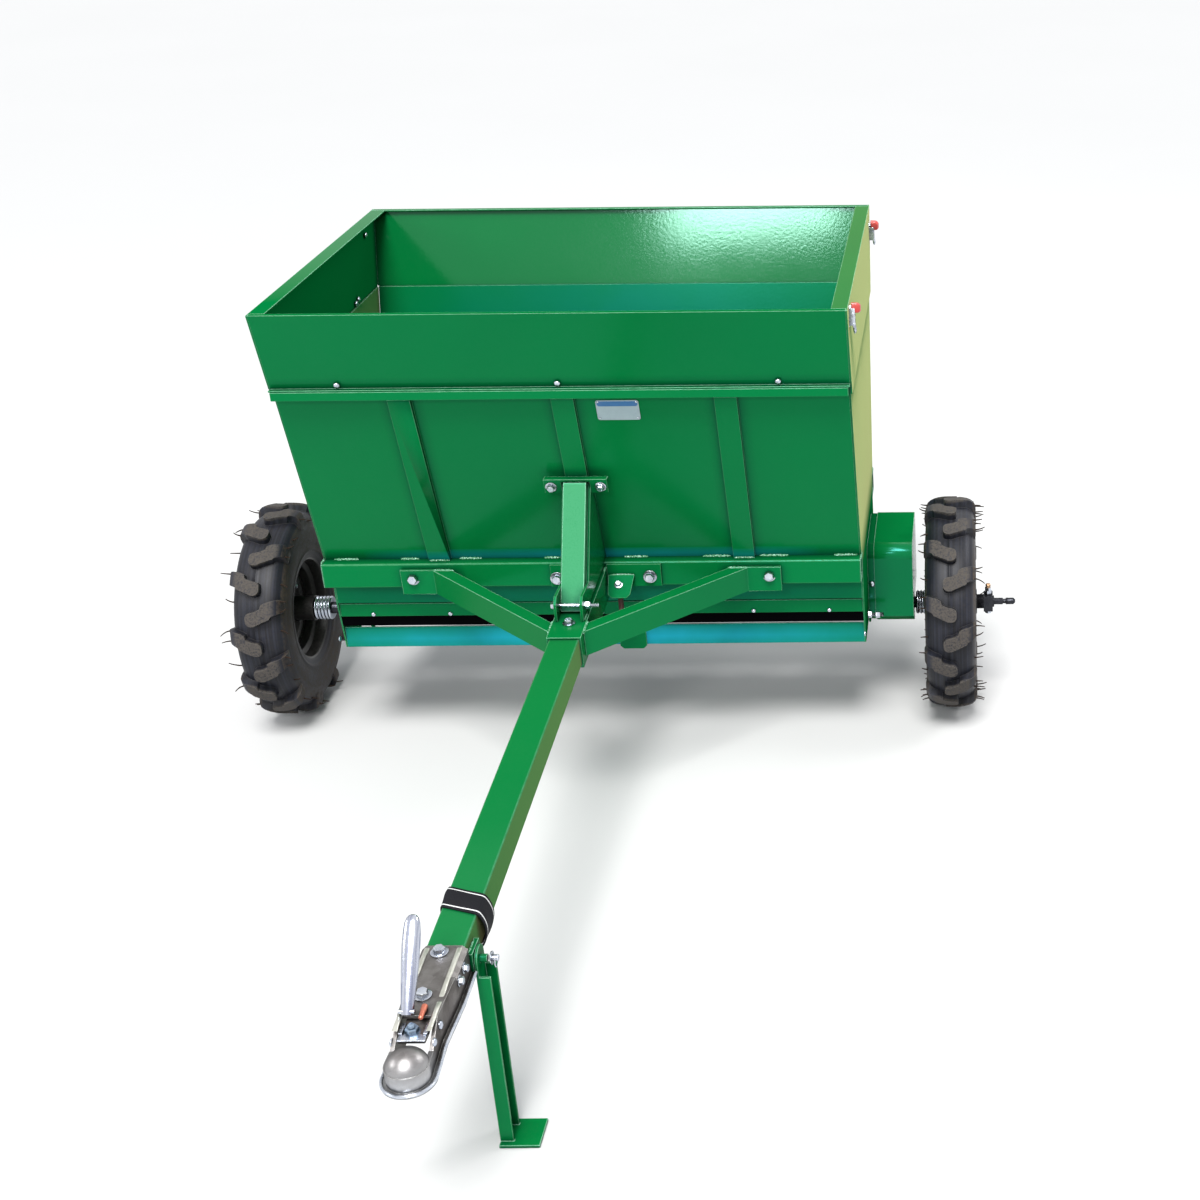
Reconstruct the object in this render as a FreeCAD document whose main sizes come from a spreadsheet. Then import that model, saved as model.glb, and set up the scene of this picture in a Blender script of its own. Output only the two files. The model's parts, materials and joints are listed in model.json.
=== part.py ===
"""Towed salt spreader for a quad bike: hopper, feed rotor, live axle, drawbar and ball coupler.

Machine frame while drawing: X across (right wheel at +X), Y back, Z up, axle line over Y = 0 and
floor at Z = 0.  The parts are then shifted so that the origin is the middle of the machine's
bounding box, on the floor.  All sizes are millimetres and degrees.
"""
import FreeCAD, Part
import math
import os
import Sketcher

VEC = FreeCAD.Vector

# ---------------------------------------------------------------- driving dimensions
DRIVING = {
    # sheet metal and hopper
    "sheetThick": 3,
    "hopperHalfWidth": 520,
    "hopperTopHeight": 812,
    "hopperTopHalfDepth": 338,
    "hopperFootHalfDepth": 222,
    "flangeWidth": 18,
    "flangeLip": 16,
    "extensionRimHeight": 964,
    "extensionRimHalfDepth": 388,
    "extensionFootHalfDepth": 342,
    "extensionOverlap": 20,
    "extensionHem": 12,
    "endHem": 29,
    "ribWidth": 41,
    "ribDepth": 10,
    "ribSpacing": 294,
    "ribCount": 3,
    # cross beams
    "beamSize": 50,
    "beamWall": 3,
    "beamFaceDepth": 247,
    "beamTopHeight": 427,
    # skirt and lips under the beams
    "skirtFootHeight": 322,
    "upperLipTop": 318,
    "upperLipFoot": 290,
    "upperLipDepth": 192,
    "lipReturn": 24,
    "apronThick": 3,
    "apronFoot": 268,
    "lowerLipTop": 262,
    "lowerLipFoot": 218,
    "lowerLipDepth": 182,
    # feed rotor and trough
    "rotorHeight": 330,
    "rotorShaftRadius": 10,
    "rotorBar": 14,
    "fingerReach": 44,
    "fingerSize": 8,
    "fingerMargin": 69,
    "fingerRows": 15,
    "troughRadius": 52,
    "troughEdgeAngle": 33,
    "slotCount": 8,
    "slotMargin": 25,
    "slotLength": 88,
    "slotWidth": 28,
    "runningGap": 0.05,
    "bearingPlate": 54,
    "bearingThick": 14,
    # axle and wheels
    "axleHeight": 220,
    "axleRadius": 12,
    "wheelOffset": 169,
    "tyreRadius": 220,
    "tyreHalfWidth": 51,
    "treadRadius": 204,
    "beadRadius": 103,
    "rimFlangeRadius": 114,
    "rimHalfWidth": 44,
    "rimWall": 3,
    "rimStep": 12,
    "hubRadius": 26,
    "hubHalfLength": 53,
    "shoulderDrop": 34,
    "shoulderWidth": 26,
    "lugCount": 11,
    "lugInnerWidth": 22,
    "lugOuterWidth": 30,
    "lugSweep": 22,
    "lugPastCentre": 11,
    "lugChamfer": 7,
    "stackRadius": 25,
    "stackRidge": 7,
    "axleBearingPlate": 50,
    "axleBearingThick": 24,
    "lockLength": 33,
    "lockHeight": 34,
    "lockCollar": 14,
    "lockDepth": 30,
    "lockStud": 5,
    "stubReach": 133,
    "idleReach": 77,
    "stubShoulder": 44,
    "stubNeck": 26,
    "stubRadius": 7,
    "collarLength": 16,
    # chain case
    "caseWidth": 92,
    "caseBaseWidth": 14,
    "caseStep": 2,
    "caseFront": 66,
    "caseBack": 140,
    "caseTop": 374,
    "caseFoot": 219,
    "caseLobeRadius": 36,
    "caseCorner": 26,
    "caseWall": 2,
    # drawbar group, along its own sloping line
    "drawbarSlope": 3.1,
    "sleeveDrop": 39,
    "sleeveSize": 62,
    "sleeveLength": 280,
    "drawbarSize": 54,
    "drawbarWall": 4,
    "drawbarFront": 1215,
    "drawbarInset": 40,
    "strutSize": 50,
    "strutWidth": 25,
    "strutWall": 3,
    "strutRootX": 283,
    "strutTipY": 238,
    "strutRise": 4,
    "padThick": 6,
    "padInnerReach": 12,
    "padOuterX": 366,
    # brace post, its gussets and bracket
    "postSize": 42,
    "postFootReach": 194,
    "postFootGap": 5,
    "postWall": 3,
    "gussetThick": 5,
    "earReach": 28,
    "earHeight": 46,
    "bracketRise": 195,
    "bracketWidth": 118,
    "bracketHeight": 30,
    "bracketDepth": 27,
    "bracketThick": 5,
    # plates on the beam and the lower lip
    "centrePlateRight": 135,
    "centrePlateLeft": 78,
    "tabInner": 34,
    "tabTopWidth": 50,
    "tabLength": 46,
    "tabThick": 5,
    "tabLean": 38,
    "hangerX": 28,
    "hangerWidth": 54,
    "hangerDrop": 8,
    "hangerTop": 290,
    # coupler
    "couplerTail": 1153,
    "couplerNeckHalf": 27,
    "couplerNeckY": 1300,
    "ballY": 1367,
    "ballRadius": 25,
    "ballGap": 0.5,
    "domeWall": 4.5,
    "couplerChamfer": 7,
    "couplerFlange": 7,
    "couplerCheek": 9,
    "cheekNose": 24,
    "handleY": 1299,
    "handleOffset": 13,
    "handleLean": 41,
    "handleWidth": 24,
    "handleFootWidth": 17,
    "handleThick": 12,
    "handleWall": 2.5,
    "handleLength": 132,
    # parking leg and strap
    "legPivotY": 1375,
    "legPivotDrop": 9,
    "legInnerX": 36,
    "legDepth": 20,
    "legWidth": 40,
    "legPinRadius": 6,
    "legThick": 4,
    "footSize": 60,
    "footThick": 5,
    "strapY": 1070,
    "strapWidth": 56,
    "strapThick": 3,
    # fits
    "seatGap": 0.3,
}


class Size:
    """A length that carries its number and the sheet expression that gives it."""

    def __init__(self, value, text):
        self.value = float(value)
        self.text = text

    def _join(self, other, sign, value):
        other = as_size(other)
        return Size(value(self.value, other.value), "(%s %s %s)" % (self.text, sign, other.text))

    def __add__(self, other):
        return self._join(other, "+", lambda a, b: a + b)

    def __sub__(self, other):
        return self._join(other, "-", lambda a, b: a - b)

    def __mul__(self, other):
        return self._join(other, "*", lambda a, b: a * b)

    def __truediv__(self, other):
        return self._join(other, "/", lambda a, b: a / b)

    def __radd__(self, other):
        return as_size(other) + self

    def __rsub__(self, other):
        return as_size(other) - self

    def __rmul__(self, other):
        return as_size(other) * self

    def __rtruediv__(self, other):
        return as_size(other) / self

    def __neg__(self):
        return Size(-self.value, "(0 - %s)" % self.text)


def as_size(number):
    if isinstance(number, Size):
        return number
    return Size(number, "%.6g" % number if number >= 0 else "(0 - %.6g)" % -number)


def root(size):
    return Size(math.sqrt(size.value), "sqrt(%s)" % size.text)


def sine(size):
    return Size(math.sin(math.radians(size.value)), "sin(%s * 1 deg)" % size.text)


def tangent(size):
    return Size(math.tan(math.radians(size.value)), "tan(%s * 1 deg)" % size.text)


def cosine(size):
    return Size(math.cos(math.radians(size.value)), "cos(%s * 1 deg)" % size.text)


doc = FreeCAD.newDocument("SaltSpreader")
sheet = doc.addObject("Spreadsheet::Sheet", "Dims")


class Dims:
    pass


D = Dims()
for row, (alias, number) in enumerate(DRIVING.items(), 1):
    sheet.set("A%d" % row, alias)
    sheet.set("B%d" % row, str(number))
    sheet.setAlias("B%d" % row, alias)
    setattr(D, alias, Size(number, "Dims.%s" % alias))
doc.recompute()

# overall box of the machine: the origin is put at the middle of it
COUPLER_TOP = D.drawbarSize / 2 + D.seatGap + D.domeWall
COUPLER_LOW = 8 - D.drawbarSize / 2
NOSE_LENGTH = D.ballY + D.ballRadius + D.ballGap + D.domeWall + D.couplerFlange
FRONT_END = (D.beamFaceDepth + NOSE_LENGTH * cosine(D.drawbarSlope)
             + (COUPLER_LOW + D.domeWall) * sine(D.drawbarSlope))
TRACK = D.hopperHalfWidth + D.wheelOffset
STUB_END, IDLE_END = TRACK + D.stubReach, TRACK + D.idleReach
SHIFT = ((IDLE_END - STUB_END) / 2, (FRONT_END - D.extensionRimHalfDepth) / 2, as_size(0))


# ---------------------------------------------------------------- drawing tools
class Piece:
    """A PartDesign body with a short way to draw its sketches and features."""

    def __init__(self, label, at=(0, 0, 0), turn_axis=None, turn=None):
        self.body = doc.addObject("PartDesign::Body", label)
        self.body.Label = label
        self.count = 0
        PIECES.append(self)
        at = [c + shift for c, shift in zip(at, SHIFT)]
        rotation = FreeCAD.Rotation()
        if turn is not None:
            rotation = FreeCAD.Rotation(turn_axis, as_size(turn).value)
        self.body.Placement = FreeCAD.Placement(VEC(*[c.value for c in at]), rotation)
        for letter, coordinate in zip("xyz", at):
            self.body.setExpression("Placement.Base.%s" % letter, coordinate.text)
        if turn is not None:
            self.body.setExpression("Placement.Rotation.Angle", as_size(turn).text)

    def _origin(self, role):
        return [o for o in self.body.Origin.OriginFeatures if o.Role == role][0]

    def sketch(self, plane, offset=0, spin=None):
        """plane XY, XZ or YZ; offset along +Z, +Y or +X; spin turns an XY sketch about the X axis."""
        self.count += 1
        new = self.body.newObject("Sketcher::SketchObject", "%s_s%d" % (self.body.Label, self.count))
        new.AttachmentSupport = [(self._origin(plane + "_Plane"), "")]
        new.MapMode = "FlatFace"
        along = as_size(offset)
        if plane == "XZ":
            along = -along
        if spin is None:
            new.AttachmentOffset = FreeCAD.Placement(VEC(0, 0, along.value), FreeCAD.Rotation())
            new.setExpression("AttachmentOffset.Base.z", along.text)
            return new
        base = (as_size(0), -(along * sine(spin)), along * cosine(spin))
        turned = FreeCAD.Rotation(VEC(1, 0, 0), spin.value)
        new.AttachmentOffset = FreeCAD.Placement(VEC(*[c.value for c in base]), turned)
        new.setExpression("AttachmentOffset.Base.y", base[1].text)
        new.setExpression("AttachmentOffset.Base.z", base[2].text)
        new.setExpression("AttachmentOffset.Rotation.Angle", spin.text)
        return new

    def _feature(self, kind, sketch):
        new = self.body.newObject("PartDesign::" + kind, "%s_%s%d" % (self.body.Label, kind, self.count))
        new.Profile = sketch
        sketch.Visibility = False
        return new

    def slab(self, plane, outlines, start, length, cut=False, spin=None):
        """Pad, or pocket, closed outlines from start by length in the positive direction."""
        start, length = as_size(start), as_size(length)
        base = start + length if plane == "XZ" else start
        sketch = self.sketch(plane, base, spin)
        for outline in outlines:
            draw(sketch, outline)
        new = self._feature("Pocket" if cut else "Pad", sketch)
        new.Length = length.value
        new.setExpression("Length", length.text)
        new.Reversed = bool(cut)
        return new

    def turned(self, outline, axis="X", cut=False, plane="XZ"):
        """Revolve an outline drawn in a plane that holds the axis through the body's origin."""
        sketch = self.sketch(plane)
        draw(sketch, outline)
        new = self._feature("Groove" if cut else "Revolution", sketch)
        new.ReferenceAxis = (self._origin(axis + "_Axis"), [""])
        new.Angle = 360
        return new

    def around(self, features, axis, count):
        new = self.body.newObject("PartDesign::PolarPattern", "%s_Polar%d" % (self.body.Label, self.count))
        new.Originals = features
        new.Axis = (self._origin(axis + "_Axis"), [""])
        new.Angle = 360
        new.Occurrences = int(count.value)
        new.setExpression("Occurrences", count.text)
        self.body.Tip = new
        return new

    def along(self, features, axis, pitch, count):
        new = self.body.newObject("PartDesign::LinearPattern", "%s_Row%d" % (self.body.Label, self.count))
        new.Originals = features
        new.Direction = (self._origin(axis + "_Axis"), [""])
        new.Mode = "Spacing"
        new.Offset = as_size(pitch).value
        new.setExpression("Offset", as_size(pitch).text)
        new.Occurrences = int(as_size(count).value)
        new.setExpression("Occurrences", as_size(count).text)
        self.body.Tip = new
        return new


PIECES = []


def fix_point(sketch, element, position, x, y):
    for kind, size in (("DistanceX", x), ("DistanceY", y)):
        size = as_size(size)
        index = sketch.addConstraint(Sketcher.Constraint(kind, element, position, size.value))
        sketch.setExpression("Constraints[%d]" % index, size.text)


def draw(sketch, outline):
    """outline: ("circle", x, y, radius), or corners (x, y) and (x, y, centre_x, centre_y, turn)
    where the side that leaves such a corner is an arc, turning +1 anticlockwise or -1 clockwise."""
    if outline[0] == "circle":
        _, x, y, radius = outline
        x, y, radius = as_size(x), as_size(y), as_size(radius)
        shape = Part.Circle(VEC(x.value, y.value, 0), VEC(0, 0, 1), radius.value)
        element = sketch.addGeometry(shape)
        fix_point(sketch, element, 3, x, y)
        index = sketch.addConstraint(Sketcher.Constraint("Radius", element, radius.value))
        sketch.setExpression("Constraints[%d]" % index, radius.text)
        return
    corners = [[as_size(c) for c in corner[:4]] + list(corner[4:]) for corner in outline]
    first = sketch.GeometryCount
    total = len(corners)
    starts = []
    for number, corner in enumerate(corners):
        after = corners[(number + 1) % total]
        here, there = VEC(corner[0].value, corner[1].value, 0), VEC(after[0].value, after[1].value, 0)
        if len(corner) == 2:
            sketch.addGeometry(Part.LineSegment(here, there))
            starts.append((1, 2))
            continue
        centre = VEC(corner[2].value, corner[3].value, 0)
        radius = (here - centre).Length
        angles = [math.atan2((p - centre).y, (p - centre).x) for p in (here, there)]
        turn = corner[4]
        if turn < 0:
            angles.reverse()
        circle = Part.Circle(centre, VEC(0, 0, 1), radius)
        sketch.addGeometry(Part.ArcOfCircle(circle, angles[0], angles[1]))
        starts.append((1, 2) if turn > 0 else (2, 1))
    for number in range(total):
        after = (number + 1) % total
        sketch.addConstraint(Sketcher.Constraint("Coincident", first + number, starts[number][1],
                                                 first + after, starts[after][0]))
    for number, corner in enumerate(corners):
        fix_point(sketch, first + number, starts[number][0], corner[0], corner[1])
        if len(corner) > 2:
            after = corners[(number + 1) % total]
            chord = VEC(after[0].value - corner[0].value, after[1].value - corner[1].value, 0)
            kind, size = ("DistanceX", corner[2]) if abs(chord.y) > abs(chord.x) else ("DistanceY", corner[3])
            index = sketch.addConstraint(Sketcher.Constraint(kind, first + number, 3, size.value))
            sketch.setExpression("Constraints[%d]" % index, size.text)


def box(x0, x1, y0, y1):
    return [(x0, y0), (x1, y0), (x1, y1), (x0, y1)]


def flip(outline):
    """The same outline mirrored in the sketch's vertical axis."""
    mirrored = []
    for corner in outline:
        if len(corner) == 2:
            mirrored.append((-as_size(corner[0]), corner[1]))
        else:
            mirrored.append((-as_size(corner[0]), corner[1], -as_size(corner[2]), corner[3], -corner[4]))
    return mirrored


def facing(side, outline):
    return outline if side < 0 else flip(outline)


INNER = D.hopperHalfWidth - D.sheetThick
TROUGH_COS, TROUGH_SIN = cosine(D.troughEdgeAngle), sine(D.troughEdgeAngle)
T = D.sheetThick
WALL_SLOPE = (D.hopperTopHalfDepth - D.hopperFootHalfDepth) / (D.hopperTopHeight - D.beamTopHeight)


def wall_depth(height):
    """Distance of the lower wall's outer face from the middle, at a height."""
    return D.hopperFootHalfDepth + (height - D.beamTopHeight) * WALL_SLOPE


# ---------------------------------------------------------------- hopper
def hopper_wall(label, side):
    """Sloped wall between the end plates: top edge folded out into a lipped flange, three stiffeners."""
    top, foot = D.hopperTopHalfDepth, D.hopperFootHalfDepth
    outer = top + D.flangeWidth
    profile = [(-foot, D.beamTopHeight), (-foot + T, D.beamTopHeight), (-top + T, D.hopperTopHeight),
               (-outer, D.hopperTopHeight), (-outer, D.hopperTopHeight - D.flangeLip),
               (-outer + T, D.hopperTopHeight - D.flangeLip), (-outer + T, D.hopperTopHeight - T),
               (-wall_depth(D.hopperTopHeight - T), D.hopperTopHeight - T)]
    piece = Piece(label)
    piece.slab("YZ", [facing(side, profile)], -INNER, INNER * 2)
    low, high = D.beamTopHeight, D.hopperTopHeight - D.flangeLip - 4
    near, far = T / 2, -D.ribDepth
    stiffener = [(-wall_depth(low) + near, low), (-wall_depth(high) + near, high),
                 (-wall_depth(high) + far, high), (-wall_depth(low) + far, low)]
    rib = piece.slab("YZ", [facing(side, stiffener)], -D.ribSpacing - D.ribWidth / 2, D.ribWidth)
    piece.along([rib], "X", D.ribSpacing, D.ribCount)


def hopper_end(label, side):
    """End plate: the hopper's end above, the cheek of the feed housing below, bored for both shafts."""
    piece = Piece(label)
    back = D.beamFaceDepth - D.beamSize
    low = D.beamTopHeight - D.beamSize
    half = [(-D.lowerLipDepth, D.lowerLipFoot), (-back, D.skirtFootHeight), (-back, low),
            (-back, D.beamTopHeight), (-D.hopperFootHalfDepth, D.beamTopHeight),
            (-D.hopperTopHalfDepth + T, D.hopperTopHeight)]
    lobe = D.axleBearingPlate / 2 + 16
    drop = D.axleHeight - D.lowerLipFoot
    chord = root(lobe * lobe - drop * drop)
    outline = half + list(reversed([(-x, z) for x, z in half]))
    outline.append((chord, D.lowerLipFoot, 0, D.axleHeight, -1))
    outline.append((-chord, D.lowerLipFoot))
    start = -D.hopperHalfWidth if side < 0 else INNER
    piece.slab("YZ", [outline, ("circle", 0, D.axleHeight, D.axleRadius + 3),
                      ("circle", 0, D.rotorHeight, D.rotorShaftRadius + 3)], start, T)


def extension_wall(label, side):
    """Sloped extension board, standing on the hopper's flange with a foot fold and a hemmed rim."""
    top, foot = D.extensionRimHalfDepth, D.extensionFootHalfDepth
    z0, z1 = D.hopperTopHeight, D.extensionRimHeight
    toe = D.hopperTopHalfDepth + D.flangeWidth - 2
    slope = (top - foot) / (z1 - z0)
    profile = [(-toe, z0), (-foot + T, z0), (-top + T + T * slope, z1 - T),
               (-top + D.extensionHem, z1 - T), (-top + D.extensionHem, z1), (-top, z1),
               (-foot - T * slope, z0 + T), (-toe, z0 + T)]
    piece = Piece(label)
    piece.slab("YZ", [facing(side, profile)], -D.hopperHalfWidth, D.hopperHalfWidth * 2)


def extension_end(label, side):
    """Extension end board, lapped outside the hopper's end plate, its rim folded inward."""
    piece = Piece(label)
    slope = (D.extensionRimHalfDepth - D.extensionFootHalfDepth) / (D.extensionRimHeight - D.hopperTopHeight)
    low = D.hopperTopHeight - D.extensionOverlap
    half = [(-wall_depth(low), low), (-wall_depth(D.hopperTopHeight), D.hopperTopHeight),
            (-D.extensionFootHalfDepth, D.hopperTopHeight + T),
            (-D.extensionRimHalfDepth, D.extensionRimHeight)]
    outline = half + list(reversed([(-x, z) for x, z in half]))
    start = D.hopperHalfWidth if side > 0 else -D.hopperHalfWidth - T
    piece.slab("YZ", [outline], start, T)
    rim = D.extensionRimHalfDepth - D.extensionHem - D.seatGap
    lip = D.hopperHalfWidth + T - D.endHem
    fold = box(lip, D.hopperHalfWidth + T, D.extensionRimHeight - T, D.extensionRimHeight)
    piece.slab("XZ", [facing(-side, fold)], -rim, rim * 2)


# ---------------------------------------------------------------- beams, skirts and lips
def beam(label, side):
    piece = Piece(label)
    y0, y1 = -D.beamFaceDepth, -D.beamFaceDepth + D.beamSize
    z1, z0 = D.beamTopHeight, D.beamTopHeight - D.beamSize
    w = D.beamWall
    piece.slab("YZ", [facing(side, box(y0, y1, z0, z1)), facing(side, box(y0 + w, y1 - w, z0 + w, z1 - w))],
               -D.hopperHalfWidth, D.hopperHalfWidth * 2)


def feed_skirt(label, side):
    """Sheet behind the beam: upright below it, with the floor sloping from its top to the trough."""
    piece = Piece(label)
    y = -D.beamFaceDepth + D.beamSize
    y1 = -(D.troughRadius + T) * TROUGH_COS - D.seatGap
    z1 = D.rotorHeight - D.troughRadius * TROUGH_SIN
    top = D.beamTopHeight
    profile = [(y, D.skirtFootHeight), (y + T, D.skirtFootHeight), (y + T, top - T * 1.5), (y1 - T, z1 - T),
               (y1, z1), (y + T, top), (y, top)]
    piece.slab("YZ", [facing(side, profile)], -INNER, INNER * 2)


def upper_lip(label, side):
    """Folded angle across the front of the feed slot."""
    piece = Piece(label)
    y, z1, z0 = -D.upperLipDepth, D.upperLipTop, D.upperLipFoot
    profile = [(y, z0), (y + T, z0), (y + T, z1 - T), (y + D.lipReturn, z1 - T), (y + D.lipReturn, z1),
               (y, z1)]
    piece.slab("YZ", [facing(side, profile)], -INNER, INNER * 2)


def aprons():
    """Rubber flaps bolted behind the upper lips, ending just above the lower ones."""
    piece = Piece("feed_aprons")
    y = -D.upperLipDepth + T + D.seatGap
    for side in (-1, 1):
        profile = box(y, y + D.apronThick, D.apronFoot, D.upperLipTop - T - D.seatGap)
        piece.slab("YZ", [facing(side, profile)], -INNER, INNER * 2)


def lower_lip(label, side):
    piece = Piece(label)
    y, z1, z0 = -D.lowerLipDepth, D.lowerLipTop, D.lowerLipFoot
    profile = [(y, z0), (y + D.lipReturn, z0), (y + D.lipReturn, z0 + T), (y + T, z0 + T), (y + T, z1),
               (y, z1)]
    piece.slab("YZ", [facing(side, profile)], -INNER, INNER * 2)


def trough():
    """Half-round trough under the rotor, with a row of outlet slots."""
    piece = Piece("feed_trough")
    r, c = D.troughRadius, D.rotorHeight
    x0, z0 = r * TROUGH_COS, c - r * TROUGH_SIN
    x1, z1 = (r + T) * TROUGH_COS, c - (r + T) * TROUGH_SIN
    outline = [(-x0, z0, 0, c, 1), (x0, z0), (x1, z1, 0, c, -1), (-x1, z1)]
    piece.slab("YZ", [outline], -INNER, INNER * 2)
    first = D.slotMargin - INNER
    pitch = (INNER * 2 - D.slotMargin * 2 - D.slotLength) / (D.slotCount - 1)
    opening = box(first, first + D.slotLength, -D.slotWidth / 2, D.slotWidth / 2)
    slot = piece.slab("XY", [opening], c - r - T * 2, T * 4, cut=True)
    piece.along([slot], "X", pitch, D.slotCount)


def rotor():
    """Square bar with round journals, set with crossed flat fingers that break and feed the salt."""
    piece = Piece("feed_rotor", at=(0, 0, D.rotorHeight))
    left, right = -D.hopperHalfWidth - D.bearingThick - 4, D.hopperHalfWidth + D.caseWidth - 20
    bar, finger, reach = D.rotorBar / 2, D.fingerSize / 2, D.fingerReach
    inside = INNER - 6
    piece.slab("YZ", [box(-bar, bar, -bar, bar)], -inside, inside * 2)
    piece.slab("YZ", [("circle", 0, 0, D.rotorShaftRadius)], inside, right - inside)
    piece.slab("YZ", [("circle", 0, 0, D.rotorShaftRadius)], left, -left - inside)
    first = D.fingerMargin - INNER
    pitch = (INNER - D.fingerMargin) * 2 / (D.fingerRows - 1)
    upright = piece.slab("XY", [box(first - finger, first + finger, -finger, finger)], -reach, reach * 2)
    piece.along([upright], "X", pitch, D.fingerRows)
    second = first + pitch / 2
    level = piece.slab("XZ", [box(second - finger, second + finger, -finger, finger)], -reach, reach * 2)
    piece.along([level], "X", pitch, D.fingerRows - 1)


def plate_bearing(label, side, height, shaft, plate, thick):
    """Square-flanged bearing bolted to the outside of an end plate."""
    piece = Piece(label, at=(0, 0, height))
    start = D.hopperHalfWidth if side > 0 else -D.hopperHalfWidth - thick
    half, cut = plate / 2, plate / 7
    outline = [(-half, cut - half), (cut - half, -half), (half - cut, -half), (half, cut - half),
               (half, half - cut), (half - cut, half), (cut - half, half), (-half, half - cut)]
    piece.slab("YZ", [outline, ("circle", 0, 0, shaft + D.runningGap)], start, thick)


# ---------------------------------------------------------------- axle and wheels
def tyre(label, centre):
    """Lugged tyre: a turned casing and slanted bars on both sides, half a pitch apart."""
    piece = Piece(label, at=(centre, 0, D.axleHeight))
    w, r, bead = D.tyreHalfWidth, D.treadRadius, D.beadRadius + D.seatGap
    flank, seat = D.rimHalfWidth - D.rimWall - D.seatGap, D.rimFlangeRadius + 2
    half = [(-flank, bead), (-flank, seat), (-w, r - D.shoulderDrop), (-w + D.shoulderWidth, r)]
    piece.turned(half + list(reversed([(-x, y) for x, y in half])))
    tip, low = D.tyreRadius, r - D.shoulderDrop
    sweep, past, out, cut = D.lugSweep / 2, -D.lugPastCentre, w + 1.5, D.lugChamfer
    inner, outer = D.lugInnerWidth / 2, D.lugOuterWidth / 2
    bar = [(past, cut - sweep - inner), (past + cut, -sweep - inner), (out, sweep - outer),
           (out, sweep + outer), (past + cut, inner - sweep), (past, inner - sweep - cut)]
    wedge = [(out - cut * 2, tip + 1), (out, tip - cut * 2), (out + 1, tip - cut * 2), (out + 1, tip + 1)]
    for plan, end, spin in ((bar, wedge, as_size(0)), (flip(bar), flip(wedge), 180 / D.lugCount)):
        lug = piece.slab("XY", [plan], low, tip - low, spin=spin)
        piece.around([lug], "X", D.lugCount)
        bevel = piece.slab("XZ", [end], -outer * 2, outer * 4, cut=True, spin=spin)
        piece.around([bevel], "X", D.lugCount)


def rim(label, centre):
    """Pressed rim: flanges, a stepped base, a flat disc and a hub barrel."""
    piece = Piece(label, at=(centre, 0, D.axleHeight))
    w, f, b, t = D.rimHalfWidth, D.rimFlangeRadius, D.beadRadius, D.rimWall
    well, half, hub, bore = b - D.rimStep, D.rimStep, D.hubRadius, D.axleRadius + D.runningGap
    left = [(-w, f), (-w + t, f), (-w + t, b), (-half, b), (-half, well)]
    inside = [(t / 2, well - t), (t / 2, hub), (D.hubHalfLength, hub), (D.hubHalfLength, bore)]
    right = [(half + t, well - t), (half + t, b - t), (w, b - t)]
    mirror = [(-x, y) for x, y in reversed(left)]
    piece.turned(left + mirror + list(reversed(right)) + inside
                 + [(-x, y) for x, y in reversed(inside)] + [(-x, y) for x, y in right])


def axle_spacers():
    """Two stacks of plated washers on the axle, between the hubs and the bearings."""
    piece = Piece("axle_spacers", at=(0, 0, D.axleHeight))
    pitch, r, hub = D.stackRidge, D.stackRadius, TRACK - D.hubHalfLength
    for ridges, direction in ((5, -1), (3, 1)):
        outline = [(hub, D.axleRadius), (hub, r - 3)]
        for number in range(ridges):
            start = hub - pitch * number
            outline += [(start - pitch / 2, r), (start - pitch, r - 3)]
        outline.append((hub - pitch * ridges, D.axleRadius))
        piece.turned([(x * direction, y) for x, y in outline])


def axle():
    """Through axle: a collar beside the idle hub, and a grooved driving end."""
    piece = Piece("axle_shaft", at=(0, 0, D.axleHeight))
    r, s = D.axleRadius, D.stubRadius
    step, neck = STUB_END - D.stubShoulder, STUB_END - D.stubNeck
    collar = -TRACK - D.hubHalfLength - 1
    piece.turned([(-IDLE_END, 0), (-IDLE_END, r), (collar - D.collarLength, r),
                  (collar - D.collarLength, D.hubRadius - 4), (collar, D.hubRadius - 4), (collar, r),
                  (step, r), (step, s), (neck, s), (neck, s - 2), (neck + 6, s - 2), (neck + 6, s),
                  (STUB_END - 4, s), (STUB_END, s - 4), (STUB_END, 0)])


def wheel_lock():
    """Collar on the axle outside the driven wheel, with a block that a vertical bolt passes through."""
    piece = Piece("wheel_lock", at=(TRACK + D.hubHalfLength, 0, D.axleHeight))
    half, wide = D.lockHeight / 2, D.lockDepth / 2
    bore = ("circle", 0, 0, D.axleRadius)
    piece.slab("YZ", [("circle", 0, 0, half - 2), bore], 0, D.lockCollar)
    piece.slab("YZ", [box(-wide, wide, -half, half), bore], D.lockCollar, D.lockLength - D.lockCollar)
    middle = (D.lockCollar + D.lockLength) / 2
    piece.slab("XY", [("circle", middle, 0, D.lockStud)], half, 22)


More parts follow.
